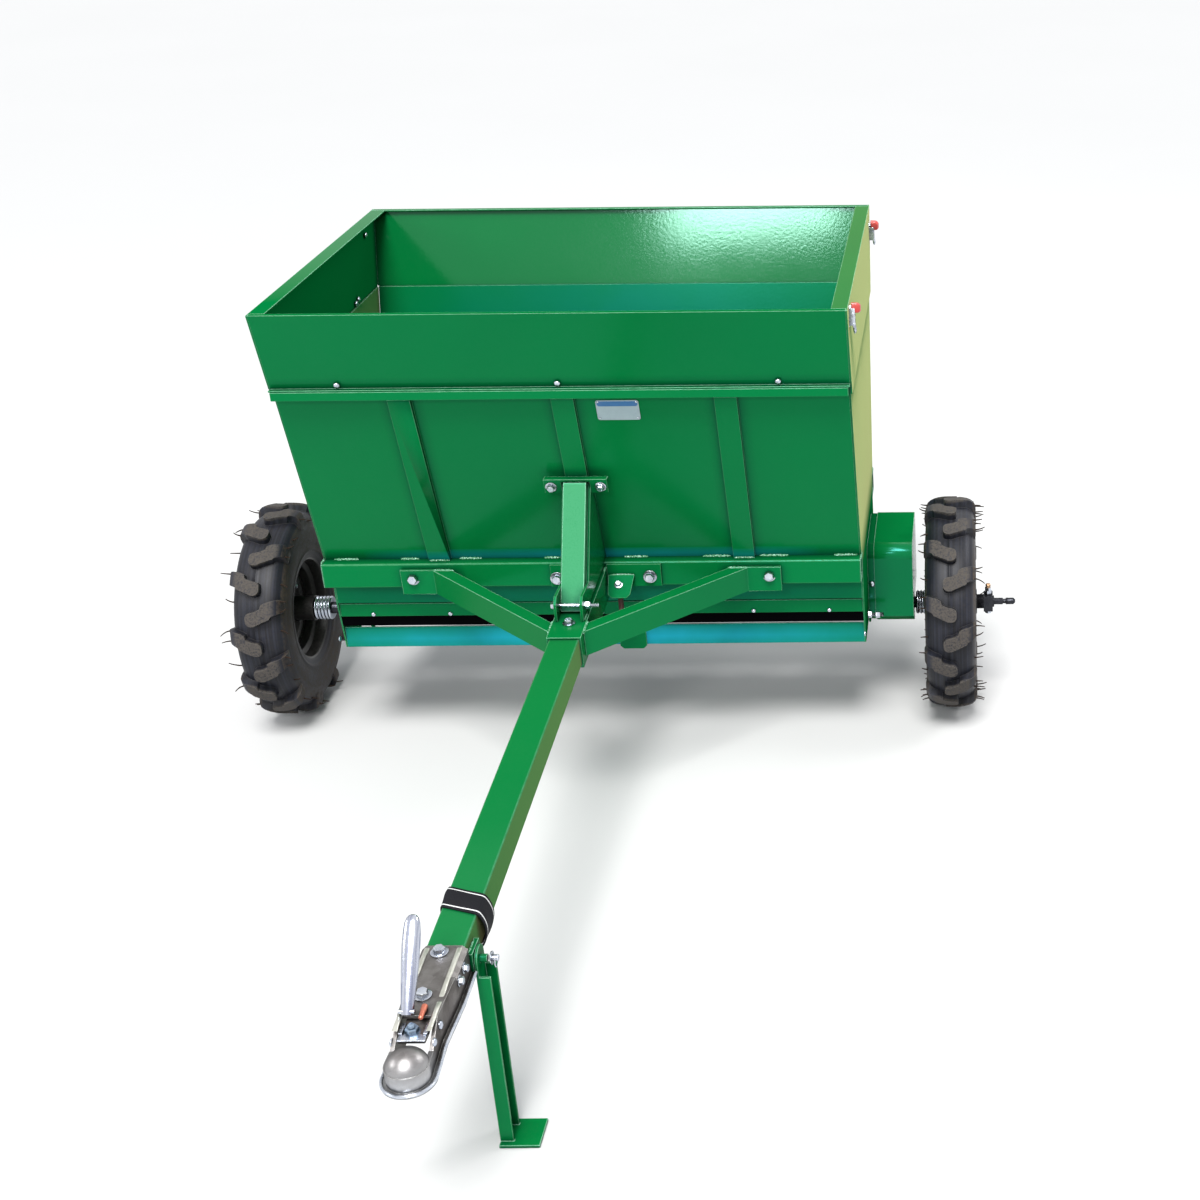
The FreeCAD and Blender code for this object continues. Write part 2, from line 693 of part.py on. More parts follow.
def chain_case():
    """Folded cover over the drive from the axle up to the rotor, lapped over a narrow base."""
    piece = Piece("chain_case")
    c = D.caseCorner

    def outline(inset):
        front, back = D.caseFront - inset, D.caseBack - inset
        top, foot = D.caseTop - inset, D.caseFoot + inset
        radius = D.caseLobeRadius - inset
        drop = D.axleHeight - foot
        chord = root(radius * radius - drop * drop)
        r = c - inset
        return [(-front, foot), (-chord, foot, 0, D.axleHeight, 1), (chord, foot), (back, foot),
                (back, top - r, back - r, top - r, 1), (back - r, top),
                (-front + r, top, r - front, top - r, 1), (-front, top - r)]

    piece.slab("YZ", [outline(D.caseStep)], D.hopperHalfWidth, D.caseWidth - D.caseWall)
    lap = D.hopperHalfWidth + D.caseBaseWidth
    piece.slab("YZ", [outline(as_size(0))], lap, D.caseWidth - D.caseBaseWidth)
    hollow = outline(D.caseStep + D.caseWall)
    piece.slab("YZ", [hollow], D.hopperHalfWidth, D.caseWidth - D.caseWall, cut=True)
    hole = ("circle", 0, D.axleHeight, D.axleRadius + 3)
    piece.slab("YZ", [hole], D.hopperHalfWidth, D.caseWidth, cut=True)


# ---------------------------------------------------------------- drawbar group
SLEEVE_ROOT = D.beamTopHeight - D.sleeveDrop
HITCH = dict(at=(0, -D.beamFaceDepth, SLEEVE_ROOT), turn_axis=VEC(1, 0, 0), turn=D.drawbarSlope)
HITCH_GAP = D.sleeveSize / 2 * sine(D.drawbarSlope) + D.seatGap
LEG_PIVOT_Z = SLEEVE_ROOT - (D.legPivotY - D.beamFaceDepth) * tangent(D.drawbarSlope) - D.legPivotDrop


def square_tube(label, size, wall, near, far):
    """Square tube on the drawbar line, from near to far in front of the beam."""
    piece = Piece(label, **HITCH)
    h = size / 2
    piece.slab("XZ", [box(-h, h, -h, h), box(-h + wall, h - wall, -h + wall, h - wall)], -far, far - near)
    return piece


def strut(label, side):
    """Flat box tube from the beam to the sleeve, with the pad that bolts it to the beam."""
    piece = Piece(label, **HITCH)
    s, w = D.strutSize, D.strutWall
    pad = D.padThick + HITCH_GAP
    sleeve = D.sleeveSize / 2 + D.seatGap
    run_x, run_y = D.strutRootX - sleeve, D.strutTipY - pad
    length = root(run_x * run_x + run_y * run_y)

    def plan(inset, stretch):
        half_root = (D.strutWidth / 2 - inset) * length / run_y
        half_tip = (D.strutWidth / 2 - inset) * length / run_x
        return [(D.strutRootX - half_root, -pad + stretch), (D.strutRootX + half_root, -pad + stretch),
                (sleeve, -D.strutTipY - half_tip), (sleeve, -D.strutTipY + half_tip)]

    low = D.strutRise - s / 2
    shapes = [plan(as_size(0), 0), plan(w, 0)]
    if side < 0:
        shapes = [flip(outline) for outline in shapes]
    piece.slab("XY", [shapes[0]], low, s)
    piece.slab("XY", [shapes[1]], low + w, s - w * 2, cut=True)
    plate = box(D.strutRootX - D.padInnerReach, D.padOuterX, -pad, -HITCH_GAP)
    piece.slab("XY", [plate if side > 0 else flip(plate)], low - 1, s + 2)


def sleeve_top(reach):
    """Height of the sleeve's upper face, at a distance in front of the beam."""
    return SLEEVE_ROOT + D.sleeveSize / 2 / cosine(D.drawbarSlope) - reach * tangent(D.drawbarSlope)


BRACKET_TOP = D.beamTopHeight + D.bracketRise
POST_FOOT = sleeve_top(D.postFootReach) + D.postFootGap
POST_LEAN = ((D.beamFaceDepth + D.postFootReach - wall_depth(BRACKET_TOP) - D.bracketDepth)
             / (BRACKET_TOP - POST_FOOT))


def post_face(height):
    """Distance in front of the middle of the leaning post's front face, at a height."""
    return D.beamFaceDepth + D.postFootReach - (height - POST_FOOT) * POST_LEAN


def post():
    """Raking square tube from the sleeve up to the bracket, its head mitred to the hopper's stiffener."""
    piece = Piece("brace_post")
    h, w = D.postSize / 2, D.postWall
    stretch = root(POST_LEAN * POST_LEAN + 1)
    high = BRACKET_TOP - D.bracketThick - D.seatGap
    off = D.ribDepth + D.seatGap
    slope = POST_LEAN + WALL_SLOPE

    def side_view(inset):
        front, rear = inset * stretch, (D.postSize - inset) * stretch
        meet = POST_FOOT + (post_face(POST_FOOT) - rear - wall_depth(POST_FOOT) - off) / slope
        return [(front - post_face(POST_FOOT), POST_FOOT), (rear - post_face(POST_FOOT), POST_FOOT),
                (-wall_depth(meet) - off, meet), (-wall_depth(high) - off, high),
                (front - post_face(high), high)]

    piece.slab("YZ", [side_view(as_size(0))], -h, h * 2)
    piece.slab("YZ", [side_view(w)], w - h, (h - w) * 2, cut=True)


def gussets():
    """Pair of web plates from the sleeve to the hopper; their front ends are the post's ears."""
    piece = Piece("brace_gussets")
    y0 = -D.beamFaceDepth
    toe, reach = y0 - D.postFootReach - D.earReach, D.postFootReach + D.earReach
    floor, ear = sleeve_top(reach) + D.seatGap, sleeve_top(reach) + D.earHeight
    half = D.postSize / 2
    high = BRACKET_TOP - D.bracketThick - D.seatGap
    plate = [(toe, floor), (toe, ear - 12), (toe + 12, ear), (half - post_face(ear), ear),
             (half - post_face(high), high), (-wall_depth(high) - D.seatGap, high),
             (-D.hopperFootHalfDepth - D.seatGap, D.beamTopHeight + D.seatGap),
             (y0 - D.seatGap, D.beamTopHeight + D.seatGap), (y0 - D.seatGap, sleeve_top(0) + D.seatGap)]
    inner = half + D.seatGap
    piece.slab("YZ", [plate], inner, D.gussetThick)
    piece.slab("YZ", [plate], -inner - D.gussetThick, D.gussetThick)


def parking_leg():
    """Leg on a side pin: a channel with a rounded head and splayed foot plate on the floor."""
    piece = Piece("parking_leg", at=(0, -D.legPivotY, LEG_PIVOT_Z))
    h, x0, t = D.legWidth / 2, D.legInnerX, D.legThick
    low = D.footThick - LEG_PIVOT_Z
    outline = [(-h, low), (h, low), (h, 0, 0, 0, 1), (-h, 0)]
    piece.slab("YZ", [outline, ("circle", 0, 0, D.legPinRadius + D.runningGap)], x0, t)
    for edge in (-h, h - t):
        cheek = [(edge, low), (edge + t, low), (edge + t, -h), (edge, -h)]
        piece.slab("YZ", [cheek], x0, D.legDepth)
    foot = D.footSize / 2
    piece.slab("XY", [box(x0, x0 + D.footSize, -foot, foot)], low - D.footThick, D.footThick)


def leg_bracket():
    piece = Piece("leg_bracket")
    z, r = LEG_PIVOT_Z, D.legPinRadius
    half = D.drawbarSize / 2 + 1
    plate = box(-D.legPivotY - 20, -D.legPivotY + 20, z - 20, z + 20)
    piece.slab("YZ", [plate], half, D.legInnerX - 1 - half)
    piece.slab("YZ", [("circle", -D.legPivotY, z, r)], half, D.legInnerX + 14 - half)


def coupler():
    """Pressed ball coupler: a chamfered channel over the drawbar, cheeks that fall to the domed cup, and
    a lip turned out all round its foot."""
    slope = D.drawbarSlope
    ball = (0, -D.beamFaceDepth - D.ballY * cosine(slope), SLEEVE_ROOT - D.ballY * sine(slope))
    piece = Piece("coupler_body", at=ball, turn_axis=VEC(1, 0, 0), turn=slope)
    n, t, top, low = D.couplerNeckHalf, D.domeWall, COUPLER_TOP, COUPLER_LOW
    a = D.drawbarSize / 2 + D.seatGap + t
    tail, neck, shoulder = D.ballY - D.couplerTail, D.ballY - D.couplerNeckY, D.ballY - D.drawbarFront - 6
    cup = D.ballRadius + D.ballGap
    r = cup + t

    def plan(grow):
        n1, a1, r1 = n + grow, a + grow, r + grow
        return [(-r1, 0, 0, 0, 1), (r1, 0), (n1, neck), (a1, shoulder), (a1, tail), (-a1, tail),
                (-a1, shoulder), (-n1, neck)]

    piece.slab("XY", [plan(as_size(0))], low, top - low)
    piece.slab("XY", [plan(D.couplerFlange)], low, t)
    hollow = [(-n + t, 0), (n - t, 0), (n - t, neck), (a - t, shoulder), (a - t, tail), (t - a, tail),
              (t - a, shoulder), (t - n, neck)]
    piece.slab("XY", [hollow], low, top - t - low, cut=True)
    drop = [(-r - 1, top + 1), (neck, top + 1), (neck, top), (D.cheekNose, D.couplerCheek),
            (-r - 1, D.couplerCheek)]
    piece.slab("YZ", [drop], -a, a * 2, cut=True)
    piece.slab("XY", [box(t - n, n - t, 0, neck)], low + t, top - low, cut=True)
    c = D.couplerChamfer
    for side in (-1, 1):
        edge = [(a * side, top), (a * side, top - c), ((a - c) * side, top)]
        piece.slab("XZ", [edge if side < 0 else list(reversed(edge))], shoulder, tail - shoulder, cut=True)
    piece.turned([(0, low), (r, low), (r, 0, 0, 0, 1), (0, r)], axis="Z")
    piece.turned([(0, low), (cup, low), (cup, 0), (cup / 2, cup * 0.86), (0, cup * 0.86)], axis="Z", cut=True)


def coupler_handle():
    """Hollow lever, widest near its rounded tip, leaning back from the edge of the coupler's neck."""
    slope, lift = D.drawbarSlope, COUPLER_TOP + D.seatGap
    foot = (-D.handleOffset, -D.beamFaceDepth - D.handleY * cosine(slope) - lift * sine(slope),
            SLEEVE_ROOT - D.handleY * sine(slope) + lift * cosine(slope))
    piece = Piece("coupler_handle", at=foot, turn_axis=VEC(-1, 0, 0), turn=D.handleLean - slope)
    w, n, tip = D.handleWidth / 2, D.handleFootWidth / 2, D.handleLength - D.handleWidth / 2

    def face(inset):
        return [(inset - n, 0), (n - inset, 0), (w - inset, tip, 0, tip, 1), (inset - w, tip)]

    piece.slab("XZ", [face(as_size(0))], -D.handleThick, D.handleThick)
    piece.slab("XZ", [face(D.handleWall)], D.handleWall - D.handleThick, D.handleThick, cut=True)


def strap():
    piece = Piece("tie_strap", **HITCH)
    h = D.drawbarSize / 2 + D.seatGap
    o = h + D.strapThick
    piece.slab("XZ", [box(-o, o, -o, o), box(-h, h, -h, h)], -D.strapY, D.strapWidth)


def brace_bracket():
    """Angle across the hopper's stiffener that holds the post's head, bolted at both ends."""
    piece = Piece("brace_bracket")
    high, low = BRACKET_TOP, BRACKET_TOP - D.bracketHeight
    t, half, off, far = D.bracketThick, D.bracketWidth / 2, D.ribDepth + D.seatGap, D.bracketDepth
    shelf = [(-wall_depth(high) - off, high), (-wall_depth(high) - far, high),
             (-wall_depth(high - t) - far, high - t), (-wall_depth(high - t) - off, high - t)]
    piece.slab("YZ", [shelf], -half, half * 2)
    face = [(-wall_depth(low) - far + t, low), (-wall_depth(high) - far + t, high),
            (-wall_depth(high) - far, high), (-wall_depth(low) - far, low)]
    inner = D.postSize / 2 + D.gussetThick + D.seatGap * 2
    piece.slab("YZ", [face], inner, half - inner)
    piece.slab("YZ", [face], -half, half - inner)


def centre_plate():
    """Plates across the beam on both sides of the sleeve."""
    piece = Piece("centre_plate")
    y, t = -D.beamFaceDepth - D.seatGap, D.padThick
    high, low = D.beamTopHeight - 2, D.beamTopHeight - D.beamSize + 2
    inner = D.sleeveSize / 2 + D.seatGap
    piece.slab("XZ", [box(inner, D.centrePlateRight, low, high)], y - t, t)
    piece.slab("XZ", [box(-D.centrePlateLeft, -inner, low, high)], y - t, t)


def adjuster_tab():
    """Sloping tab welded on the centre plate, which the feed slot's adjuster hangs from."""
    weld = (0, -D.beamFaceDepth - D.padThick - D.seatGap * 2, D.beamTopHeight - D.beamSize / 2)
    piece = Piece("adjuster_tab", at=weld, turn_axis=VEC(-1, 0, 0), turn=D.tabLean)
    x0, x1, c = D.tabInner, D.tabInner + D.tabTopWidth, D.lugChamfer
    outline = [(x0, 0), (x0, c - D.tabLength), (x0 + c, -D.tabLength), (x1 - c * 2, -D.tabLength),
               (x1 - c, c - D.tabLength), (x1, 0)]
    piece.slab("XZ", [outline], -D.tabThick, D.tabThick)


def lip_hanger():
    """Bracket that carries the two lower lips where they meet in the middle."""
    piece = Piece("lip_hanger")
    y = -D.lowerLipDepth - D.seatGap
    low, high = D.lowerLipFoot - D.hangerDrop, D.hangerTop
    x0, x1, c = D.hangerX, D.hangerX + D.hangerWidth, D.lugChamfer
    outline = [(x0, high), (x0, low + c), (x0 + c, low), (x1 - c, low), (x1, low + c), (x1, high)]
    piece.slab("XZ", [outline], y - T, T)


def build():
    for side, name in ((-1, "front"), (1, "rear")):
        hopper_wall("hopper_wall_" + name, side)
        extension_wall("extension_" + name, side)
        beam("beam_" + name, side)
        feed_skirt("feed_skirt_" + name, side)
        upper_lip("upper_lip_" + name, side)
        lower_lip("lower_lip_" + name, side)
    for side, name in ((-1, "left"), (1, "right")):
        hopper_end("hopper_end_" + name, side)
        extension_end("extension_" + name, side)
        plate_bearing("rotor_bearing_" + name, side, D.rotorHeight, D.rotorShaftRadius, D.bearingPlate,
                      D.bearingThick)
        plate_bearing("axle_bearing_" + name, side, D.axleHeight, D.axleRadius, D.axleBearingPlate,
                      D.axleBearingThick)
        tyre("tyre_" + name, TRACK * side)
        rim("rim_" + name, TRACK * side)
        strut("strut_" + name, side)
    aprons()
    trough()
    rotor()
    axle()
    axle_spacers()
    wheel_lock()
    chain_case()
    square_tube("drawbar_sleeve", D.sleeveSize, (D.sleeveSize - D.drawbarSize) / 2 - D.seatGap, HITCH_GAP,
                D.sleeveLength)
    square_tube("drawbar_tube", D.drawbarSize, D.drawbarWall, D.drawbarInset, D.drawbarFront)
    post()
    gussets()
    brace_bracket()
    centre_plate()
    adjuster_tab()
    lip_hanger()
    coupler()
    coupler_handle()
    strap()
    leg_bracket()
    parking_leg()


def check():
    """Every object computed, and every piece one valid solid or more."""
    faults = []
    for item in doc.Objects:
        if any(word in item.State for word in ("Invalid", "Error", "Touched")):
            faults.append("%s is %s" % (item.Label, item.State))
    for piece in PIECES:
        shape = piece.body.Shape
        if shape.isNull() or not shape.isValid() or not shape.Solids:
            faults.append("%s has no valid solid" % piece.body.Label)
    return faults


build()
doc.recompute()
faults = check()
if faults:
    raise SystemExit("\n".join(faults))
os.makedirs("parts", exist_ok=True)
for piece in PIECES:
    piece.body.Shape.exportStep("parts/%s.step" % piece.body.Label)
print("%d pieces written" % len(PIECES))
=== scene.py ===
import json
import math
import random

import bmesh
import bpy
from mathutils import Matrix, Vector


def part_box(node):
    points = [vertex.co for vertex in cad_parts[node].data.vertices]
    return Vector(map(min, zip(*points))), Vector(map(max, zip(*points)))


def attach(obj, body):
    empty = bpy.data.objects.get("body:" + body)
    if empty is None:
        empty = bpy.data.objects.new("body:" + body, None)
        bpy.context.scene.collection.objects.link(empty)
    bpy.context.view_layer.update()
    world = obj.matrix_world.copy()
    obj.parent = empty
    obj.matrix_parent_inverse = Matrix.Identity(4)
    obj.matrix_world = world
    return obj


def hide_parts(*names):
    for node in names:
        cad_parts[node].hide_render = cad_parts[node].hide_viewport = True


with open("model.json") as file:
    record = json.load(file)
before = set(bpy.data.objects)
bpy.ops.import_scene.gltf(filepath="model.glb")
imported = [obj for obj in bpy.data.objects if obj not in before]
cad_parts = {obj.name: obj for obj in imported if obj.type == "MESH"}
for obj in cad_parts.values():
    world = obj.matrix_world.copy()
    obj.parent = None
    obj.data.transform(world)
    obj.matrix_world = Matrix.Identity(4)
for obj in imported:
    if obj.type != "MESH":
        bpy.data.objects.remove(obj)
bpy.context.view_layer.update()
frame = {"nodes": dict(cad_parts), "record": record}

print("frame loaded")
nodes = frame["nodes"]


def middle(node):
    low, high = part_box(node)
    return (low + high) / 2


def span(node):
    low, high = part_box(node)
    return high - low


# the machine's own zero: middle of the hopper, axle line, floor
zero = Vector((middle("hopper_wall_front").x, middle("tyre_right").y, 0))


def at(x, y, z):
    return zero + Vector((x, y, z))


# centre of the dome over the towing ball
couplerLow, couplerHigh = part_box("coupler_body")
hitchBall = Vector((zero.x, couplerLow.y + 0.036, couplerHigh.z - 0.060))


# shader groups

def newGroup(name, inputs, outputs):
    group = bpy.data.node_groups.new(name, "ShaderNodeTree")
    for socketName, kind, value in inputs:
        socket = group.interface.new_socket(name=socketName, in_out="INPUT", socket_type="NodeSocket" + kind)
        if value is not None:
            socket.default_value = value
    for socketName, kind in outputs:
        group.interface.new_socket(name=socketName, in_out="OUTPUT", socket_type="NodeSocket" + kind)
    return group, group.nodes.new("NodeGroupInput"), group.nodes.new("NodeGroupOutput")


def addNode(tree, kind, **values):
    node = tree.nodes.new("ShaderNode" + kind)
    for key, value in values.items():
        setattr(node, key, value)
    return node


def feed(tree, value, socket):
    # numbers and colours are set on the socket, another node's output is linked to it
    if isinstance(value, (int, float, tuple)):
        socket.default_value = value
    else:
        tree.links.new(value, socket)


def mathNode(tree, operation, first, second=None, third=None, clamp=False):
    node = addNode(tree, "Math", operation=operation, use_clamp=clamp)
    for socket, value in zip(node.inputs, (first, second, third)):
        if value is not None:
            feed(tree, value, socket)
    return node.outputs[0]


def noiseNode(tree, vector, scale, detail=3, roughness=0.5):
    node = addNode(tree, "TexNoise")
    given = {"Vector": vector, "Scale": scale, "Detail": detail, "Roughness": roughness}
    for socketName, value in given.items():
        feed(tree, value, node.inputs[socketName])
    return node.outputs["Fac"]


def partsOf(tree, vector):
    node = addNode(tree, "SeparateXYZ")
    tree.links.new(vector, node.inputs[0])
    return node.outputs


def makeEdgeMask():
    # painted highlight: bright where the surface turns over an edge, most where the edge faces up, broken up
    # by noise
    group, given, made = newGroup("edgeMask", [("Width", "Float", 0.0012), ("Break Up", "Float", 40.0)],
                                  [("Mask", "Float")])
    bevel = addNode(group, "Bevel", samples=4)
    flat = addNode(group, "NewGeometry")
    dot = addNode(group, "VectorMath", operation="DOT_PRODUCT")
    group.links.new(given.outputs["Width"], bevel.inputs["Radius"])
    group.links.new(bevel.outputs[0], dot.inputs[0])
    group.links.new(flat.outputs["Normal"], dot.inputs[1])
    turn = mathNode(group, "SUBTRACT", 1.0, dot.outputs["Value"])
    place = addNode(group, "TexCoord")
    patches = noiseNode(group, place.outputs["Object"], given.outputs["Break Up"], 4, 0.6)
    strength = mathNode(group, "MULTIPLY", turn, 9.0, clamp=True)
    upward = mathNode(group, "MULTIPLY_ADD", partsOf(group, bevel.outputs[0])["Z"], 1.1, 0.45, clamp=True)
    broken = mathNode(group, "MULTIPLY", strength, mathNode(group, "MULTIPLY_ADD", patches, 1.6, 0.1))
    group.links.new(mathNode(group, "MULTIPLY", broken, upward, clamp=True), made.inputs["Mask"])
    return group


def makeOrangePeel():
    # the fine waviness of sprayed enamel, with a few dust nibs
    group, given, made = newGroup("orangePeel", [("Scale", "Float", 260.0), ("Nibs", "Float", 0.2)],
                                  [("Height", "Float")])
    place = addNode(group, "TexCoord")
    waves = noiseNode(group, place.outputs["Object"], given.outputs["Scale"], 2, 0.4)
    spots = addNode(group, "TexVoronoi")
    group.links.new(place.outputs["Object"], spots.inputs["Vector"])
    spots.inputs["Scale"].default_value = 90
    nib = mathNode(group, "LESS_THAN", spots.outputs["Distance"], 0.045)
    lifted = mathNode(group, "MULTIPLY", nib, given.outputs["Nibs"])
    group.links.new(mathNode(group, "ADD", waves, lifted), made.inputs["Height"])
    return group


def makeDust():
    # settled dust and road film: more on faces that look up, in soft patches
    group, given, made = newGroup("dustFilm", [("Amount", "Float", 0.3), ("Scale", "Float", 7.0)],
                                  [("Mask", "Float")])
    place = addNode(group, "TexCoord")
    broad = noiseNode(group, place.outputs["Object"], given.outputs["Scale"], 6, 0.62)
    fine = noiseNode(group, place.outputs["Object"], 190.0, 3, 0.6)
    facing = partsOf(group, addNode(group, "NewGeometry").outputs["Normal"])
    upward = mathNode(group, "MULTIPLY_ADD", facing["Z"], 0.35, 0.65, clamp=True)
    patchy = mathNode(group, "MULTIPLY", broad, fine)
    kept = mathNode(group, "MULTIPLY_ADD", patchy, 4.0, -0.6, clamp=True)
    shaped = mathNode(group, "MULTIPLY", kept, upward)
    group.links.new(mathNode(group, "MULTIPLY", shaped, given.outputs["Amount"], clamp=True),
                    made.inputs["Mask"])
    return group


def makeCavity():
    # mask for painted shade: 0 in seams and under ledges, 1 in the open
    group, given, made = newGroup("cavityShade", [("Reach", "Float", 0.02), ("Depth", "Float", 0.5)],
                                  [("Shade", "Float")])
    hollow = addNode(group, "AmbientOcclusion", samples=5)
    group.links.new(given.outputs["Reach"], hollow.inputs["Distance"])
    opened = mathNode(group, "POWER", hollow.outputs["AO"], 1.6)
    lost = mathNode(group, "MULTIPLY", mathNode(group, "SUBTRACT", 1.0, opened), given.outputs["Depth"])
    group.links.new(mathNode(group, "SUBTRACT", 1.0, lost, clamp=True), made.inputs["Shade"])
    return group


def makeSheen():
    # painted reflection: a soft band at one height, strongest at its centre, where sheet metal mirrors the
    # sky
    inputs = [("Height", "Float", 0.24), ("Half Height", "Float", 0.02), ("Half Width", "Float", 0.5),
              ("Centre", "Float", 0.0), ("Front Faces Only", "Float", 0.0)]
    group, given, made = newGroup("lowSheen", inputs, [("Mask", "Float")])
    place = addNode(group, "NewGeometry")
    spot, facing = partsOf(group, place.outputs["Position"]), partsOf(group, place.outputs["Normal"])
    off = mathNode(group, "ABSOLUTE", mathNode(group, "SUBTRACT", spot["Z"], given.outputs["Height"]))
    high = mathNode(group, "DIVIDE", off, given.outputs["Half Height"])
    band = mathNode(group, "SUBTRACT", 1.0, high, clamp=True)
    middleX = mathNode(group, "ADD", given.outputs["Centre"], zero.x)
    aside = mathNode(group, "ABSOLUTE", mathNode(group, "SUBTRACT", spot["X"], middleX))
    wide = mathNode(group, "DIVIDE", aside, given.outputs["Half Width"])
    near = mathNode(group, "SUBTRACT", 1.0, wide, clamp=True)
    softBand, softNear = mathNode(group, "POWER", band, 0.6), mathNode(group, "POWER", near, 0.7)
    both = mathNode(group, "MULTIPLY", softBand, softNear)
    patches = noiseNode(group, place.outputs["Position"], 9.0, 3, 0.55)
    cloudy = mathNode(group, "MULTIPLY", both, mathNode(group, "ADD", patches, 0.55), clamp=True)
    away = mathNode(group, "GREATER_THAN", facing["Y"], 0.0)
    lost = mathNode(group, "MULTIPLY", away, given.outputs["Front Faces Only"])
    kept = mathNode(group, "SUBTRACT", 1.0, lost)
    group.links.new(mathNode(group, "MULTIPLY", cloudy, kept), made.inputs["Mask"])
    return group


edgeMask, orangePeel, dustFilm, cavityShade = makeEdgeMask(), makeOrangePeel(), makeDust(), makeCavity()
lowSheen = makeSheen()
print("shader groups ready")


# materials

def newMaterial(name, **sockets):
    material = bpy.data.materials.new(name)
    material.use_nodes = True
    tree = material.node_tree
    shader = tree.nodes["Principled BSDF"]
    for socketName, value in sockets.items():
        shader.inputs[socketName.replace("_", " ")].default_value = value
    return material, tree, shader


def useGroup(tree, group, **values):
    node = tree.nodes.new("ShaderNodeGroup")
    node.node_tree = group
    for socketName, value in values.items():
        node.inputs[socketName.replace("_", " ")].default_value = value
    return node


def mixColours(tree, mask, first, second):
    node = addNode(tree, "Mix", data_type="RGBA")
    feed(tree, mask, node.inputs[0])
    for socket, value in zip([s for s in node.inputs if s.type == "RGBA"], (first, second)):
        feed(tree, value + (1,) if isinstance(value, tuple) else value, socket)
    return [s for s in node.outputs if s.type == "RGBA"][0]


def bumpFrom(tree, shader, height, strength, distance):
    node = addNode(tree, "Bump")
    node.inputs["Strength"].default_value = strength
    node.inputs["Distance"].default_value = distance
    tree.links.new(height, node.inputs["Height"])
    tree.links.new(node.outputs["Normal"], shader.inputs["Normal"])


# several colours here paint light: the near-black green paints shade in seams, the pale greens paint
# highlights on edges and welds and a reflection on the post, the sky and inside tones paint reflections, and
# the beige tints a sheen standing in for reflected warm surroundings
enamel = {"colour": (0.0004, 0.142, 0.030), "deep": (0.0004, 0.116, 0.027), "edge": (0.44, 0.82, 0.60),
          "seamShade": (0.0, 0.015, 0.010), "dust": (0.08, 0.22, 0.12), "sky": (0.012, 0.30, 0.42),
          "inside": (0.002, 0.13, 0.075), "reflectedBeige": (1.0, 0.88, 0.42), "paleReflection": (0.20, 0.60, 0.34),
          "bead": (0.50, 0.86, 0.68)}


def makeEnamel(name="greenEnamel", sheen=None, polish=0.26, shadeReach=0.022, tint=(0.12, 1.0, 0.80),
               edgeHighlight=0.7, beigeSheen=None, paleReflection=0.0, smooth=0.13):
    material, tree, shader = newMaterial(name, Specular_Tint=tint + (1,))
    place = addNode(tree, "TexCoord")
    cloud = noiseNode(tree, place.outputs["Object"], 3.5, 4, 0.55)
    facing = addNode(tree, "LayerWeight")
    body = mixColours(tree, cloud, enamel["colour"], enamel["deep"])
    if beigeSheen:
        # a sheen tinted beige, standing in for the reflection of warm surroundings, that shows where the
        # sheet is seen edge on, above one height
        weight, lowest = beigeSheen
        shader.inputs["Sheen Roughness"].default_value = 0.30
        shader.inputs["Sheen Tint"].default_value = enamel["reflectedBeige"] + (1,)
        spot = partsOf(tree, addNode(tree, "NewGeometry").outputs["Position"])
        above = mathNode(tree, "MULTIPLY_ADD", spot["Z"], 16.0, lowest * -16.0, clamp=True)
        tree.links.new(mathNode(tree, "MULTIPLY", above, weight), shader.inputs["Sheen Weight"])
    # painted reflection: a mottled pale green mixed all over the piece
    if paleReflection:
        grain = noiseNode(tree, place.outputs["Object"], 420.0, 3, 0.6)
        mottled = mathNode(tree, "MULTIPLY_ADD", grain, 1.4, 0.3, clamp=True)
        reflected = mathNode(tree, "MULTIPLY", mottled, paleReflection)
        body = mixColours(tree, reflected, body, enamel["paleReflection"])
    # painted shade: the near-black green in seams and under ledges
    shade = useGroup(tree, cavityShade, Reach=shadeReach, Depth=0.85)
    shaded = mixColours(tree, shade.outputs["Shade"], enamel["seamShade"], body)
    # painted highlight: the pale edge green along edges that face up
    edge = useGroup(tree, edgeMask, Width=0.0018, Break_Up=55.0)
    faint = mathNode(tree, "MULTIPLY", edge.outputs["Mask"], edgeHighlight, clamp=True)
    edged = mixColours(tree, faint, shaded, enamel["edge"])
    dust = useGroup(tree, dustFilm, Amount=0.03, Scale=5.0)
    finished = mixColours(tree, dust.outputs["Mask"], edged, enamel["dust"])
    # painted reflection: a band of another colour mixed into the paint
    if sheen:
        height, halfHeight, halfWidth, strength, centre, inward, colour = sheen
        band = useGroup(tree, lowSheen, Height=height, Half_Height=halfHeight, Half_Width=halfWidth,
                        Centre=centre, Front_Faces_Only=inward)
        weak = mathNode(tree, "MULTIPLY", band.outputs["Mask"], strength)
        finished = mixColours(tree, weak, finished, enamel[colour])
    tree.links.new(finished, shader.inputs["Base Color"])
    # broad glancing views keep the paint's own colour, only the last few degrees turn pale
    square = mathNode(tree, "MULTIPLY_ADD", facing.outputs["Facing"], -3.6, 2.1, clamp=True)
    gloss = mathNode(tree, "MULTIPLY", square, polish)
    grazing = mathNode(tree, "SUBTRACT", facing.outputs["Facing"], 0.74, clamp=True)
    last = mathNode(tree, "MULTIPLY", grazing, 0.0 if beigeSheen else 1.1)
    tree.links.new(mathNode(tree, "ADD", gloss, last, clamp=True), shader.inputs["Specular IOR Level"])
    dull = mathNode(tree, "MULTIPLY_ADD", dust.outputs["Mask"], 1.2, smooth, clamp=True)
    tree.links.new(mathNode(tree, "MULTIPLY_ADD", cloud, 0.10, dull), shader.inputs["Roughness"])
    peel = useGroup(tree, orangePeel, Scale=170.0, Nibs=0.5)
    bumpFrom(tree, shader, peel.outputs["Height"], 0.10, 0.0006)
    return material


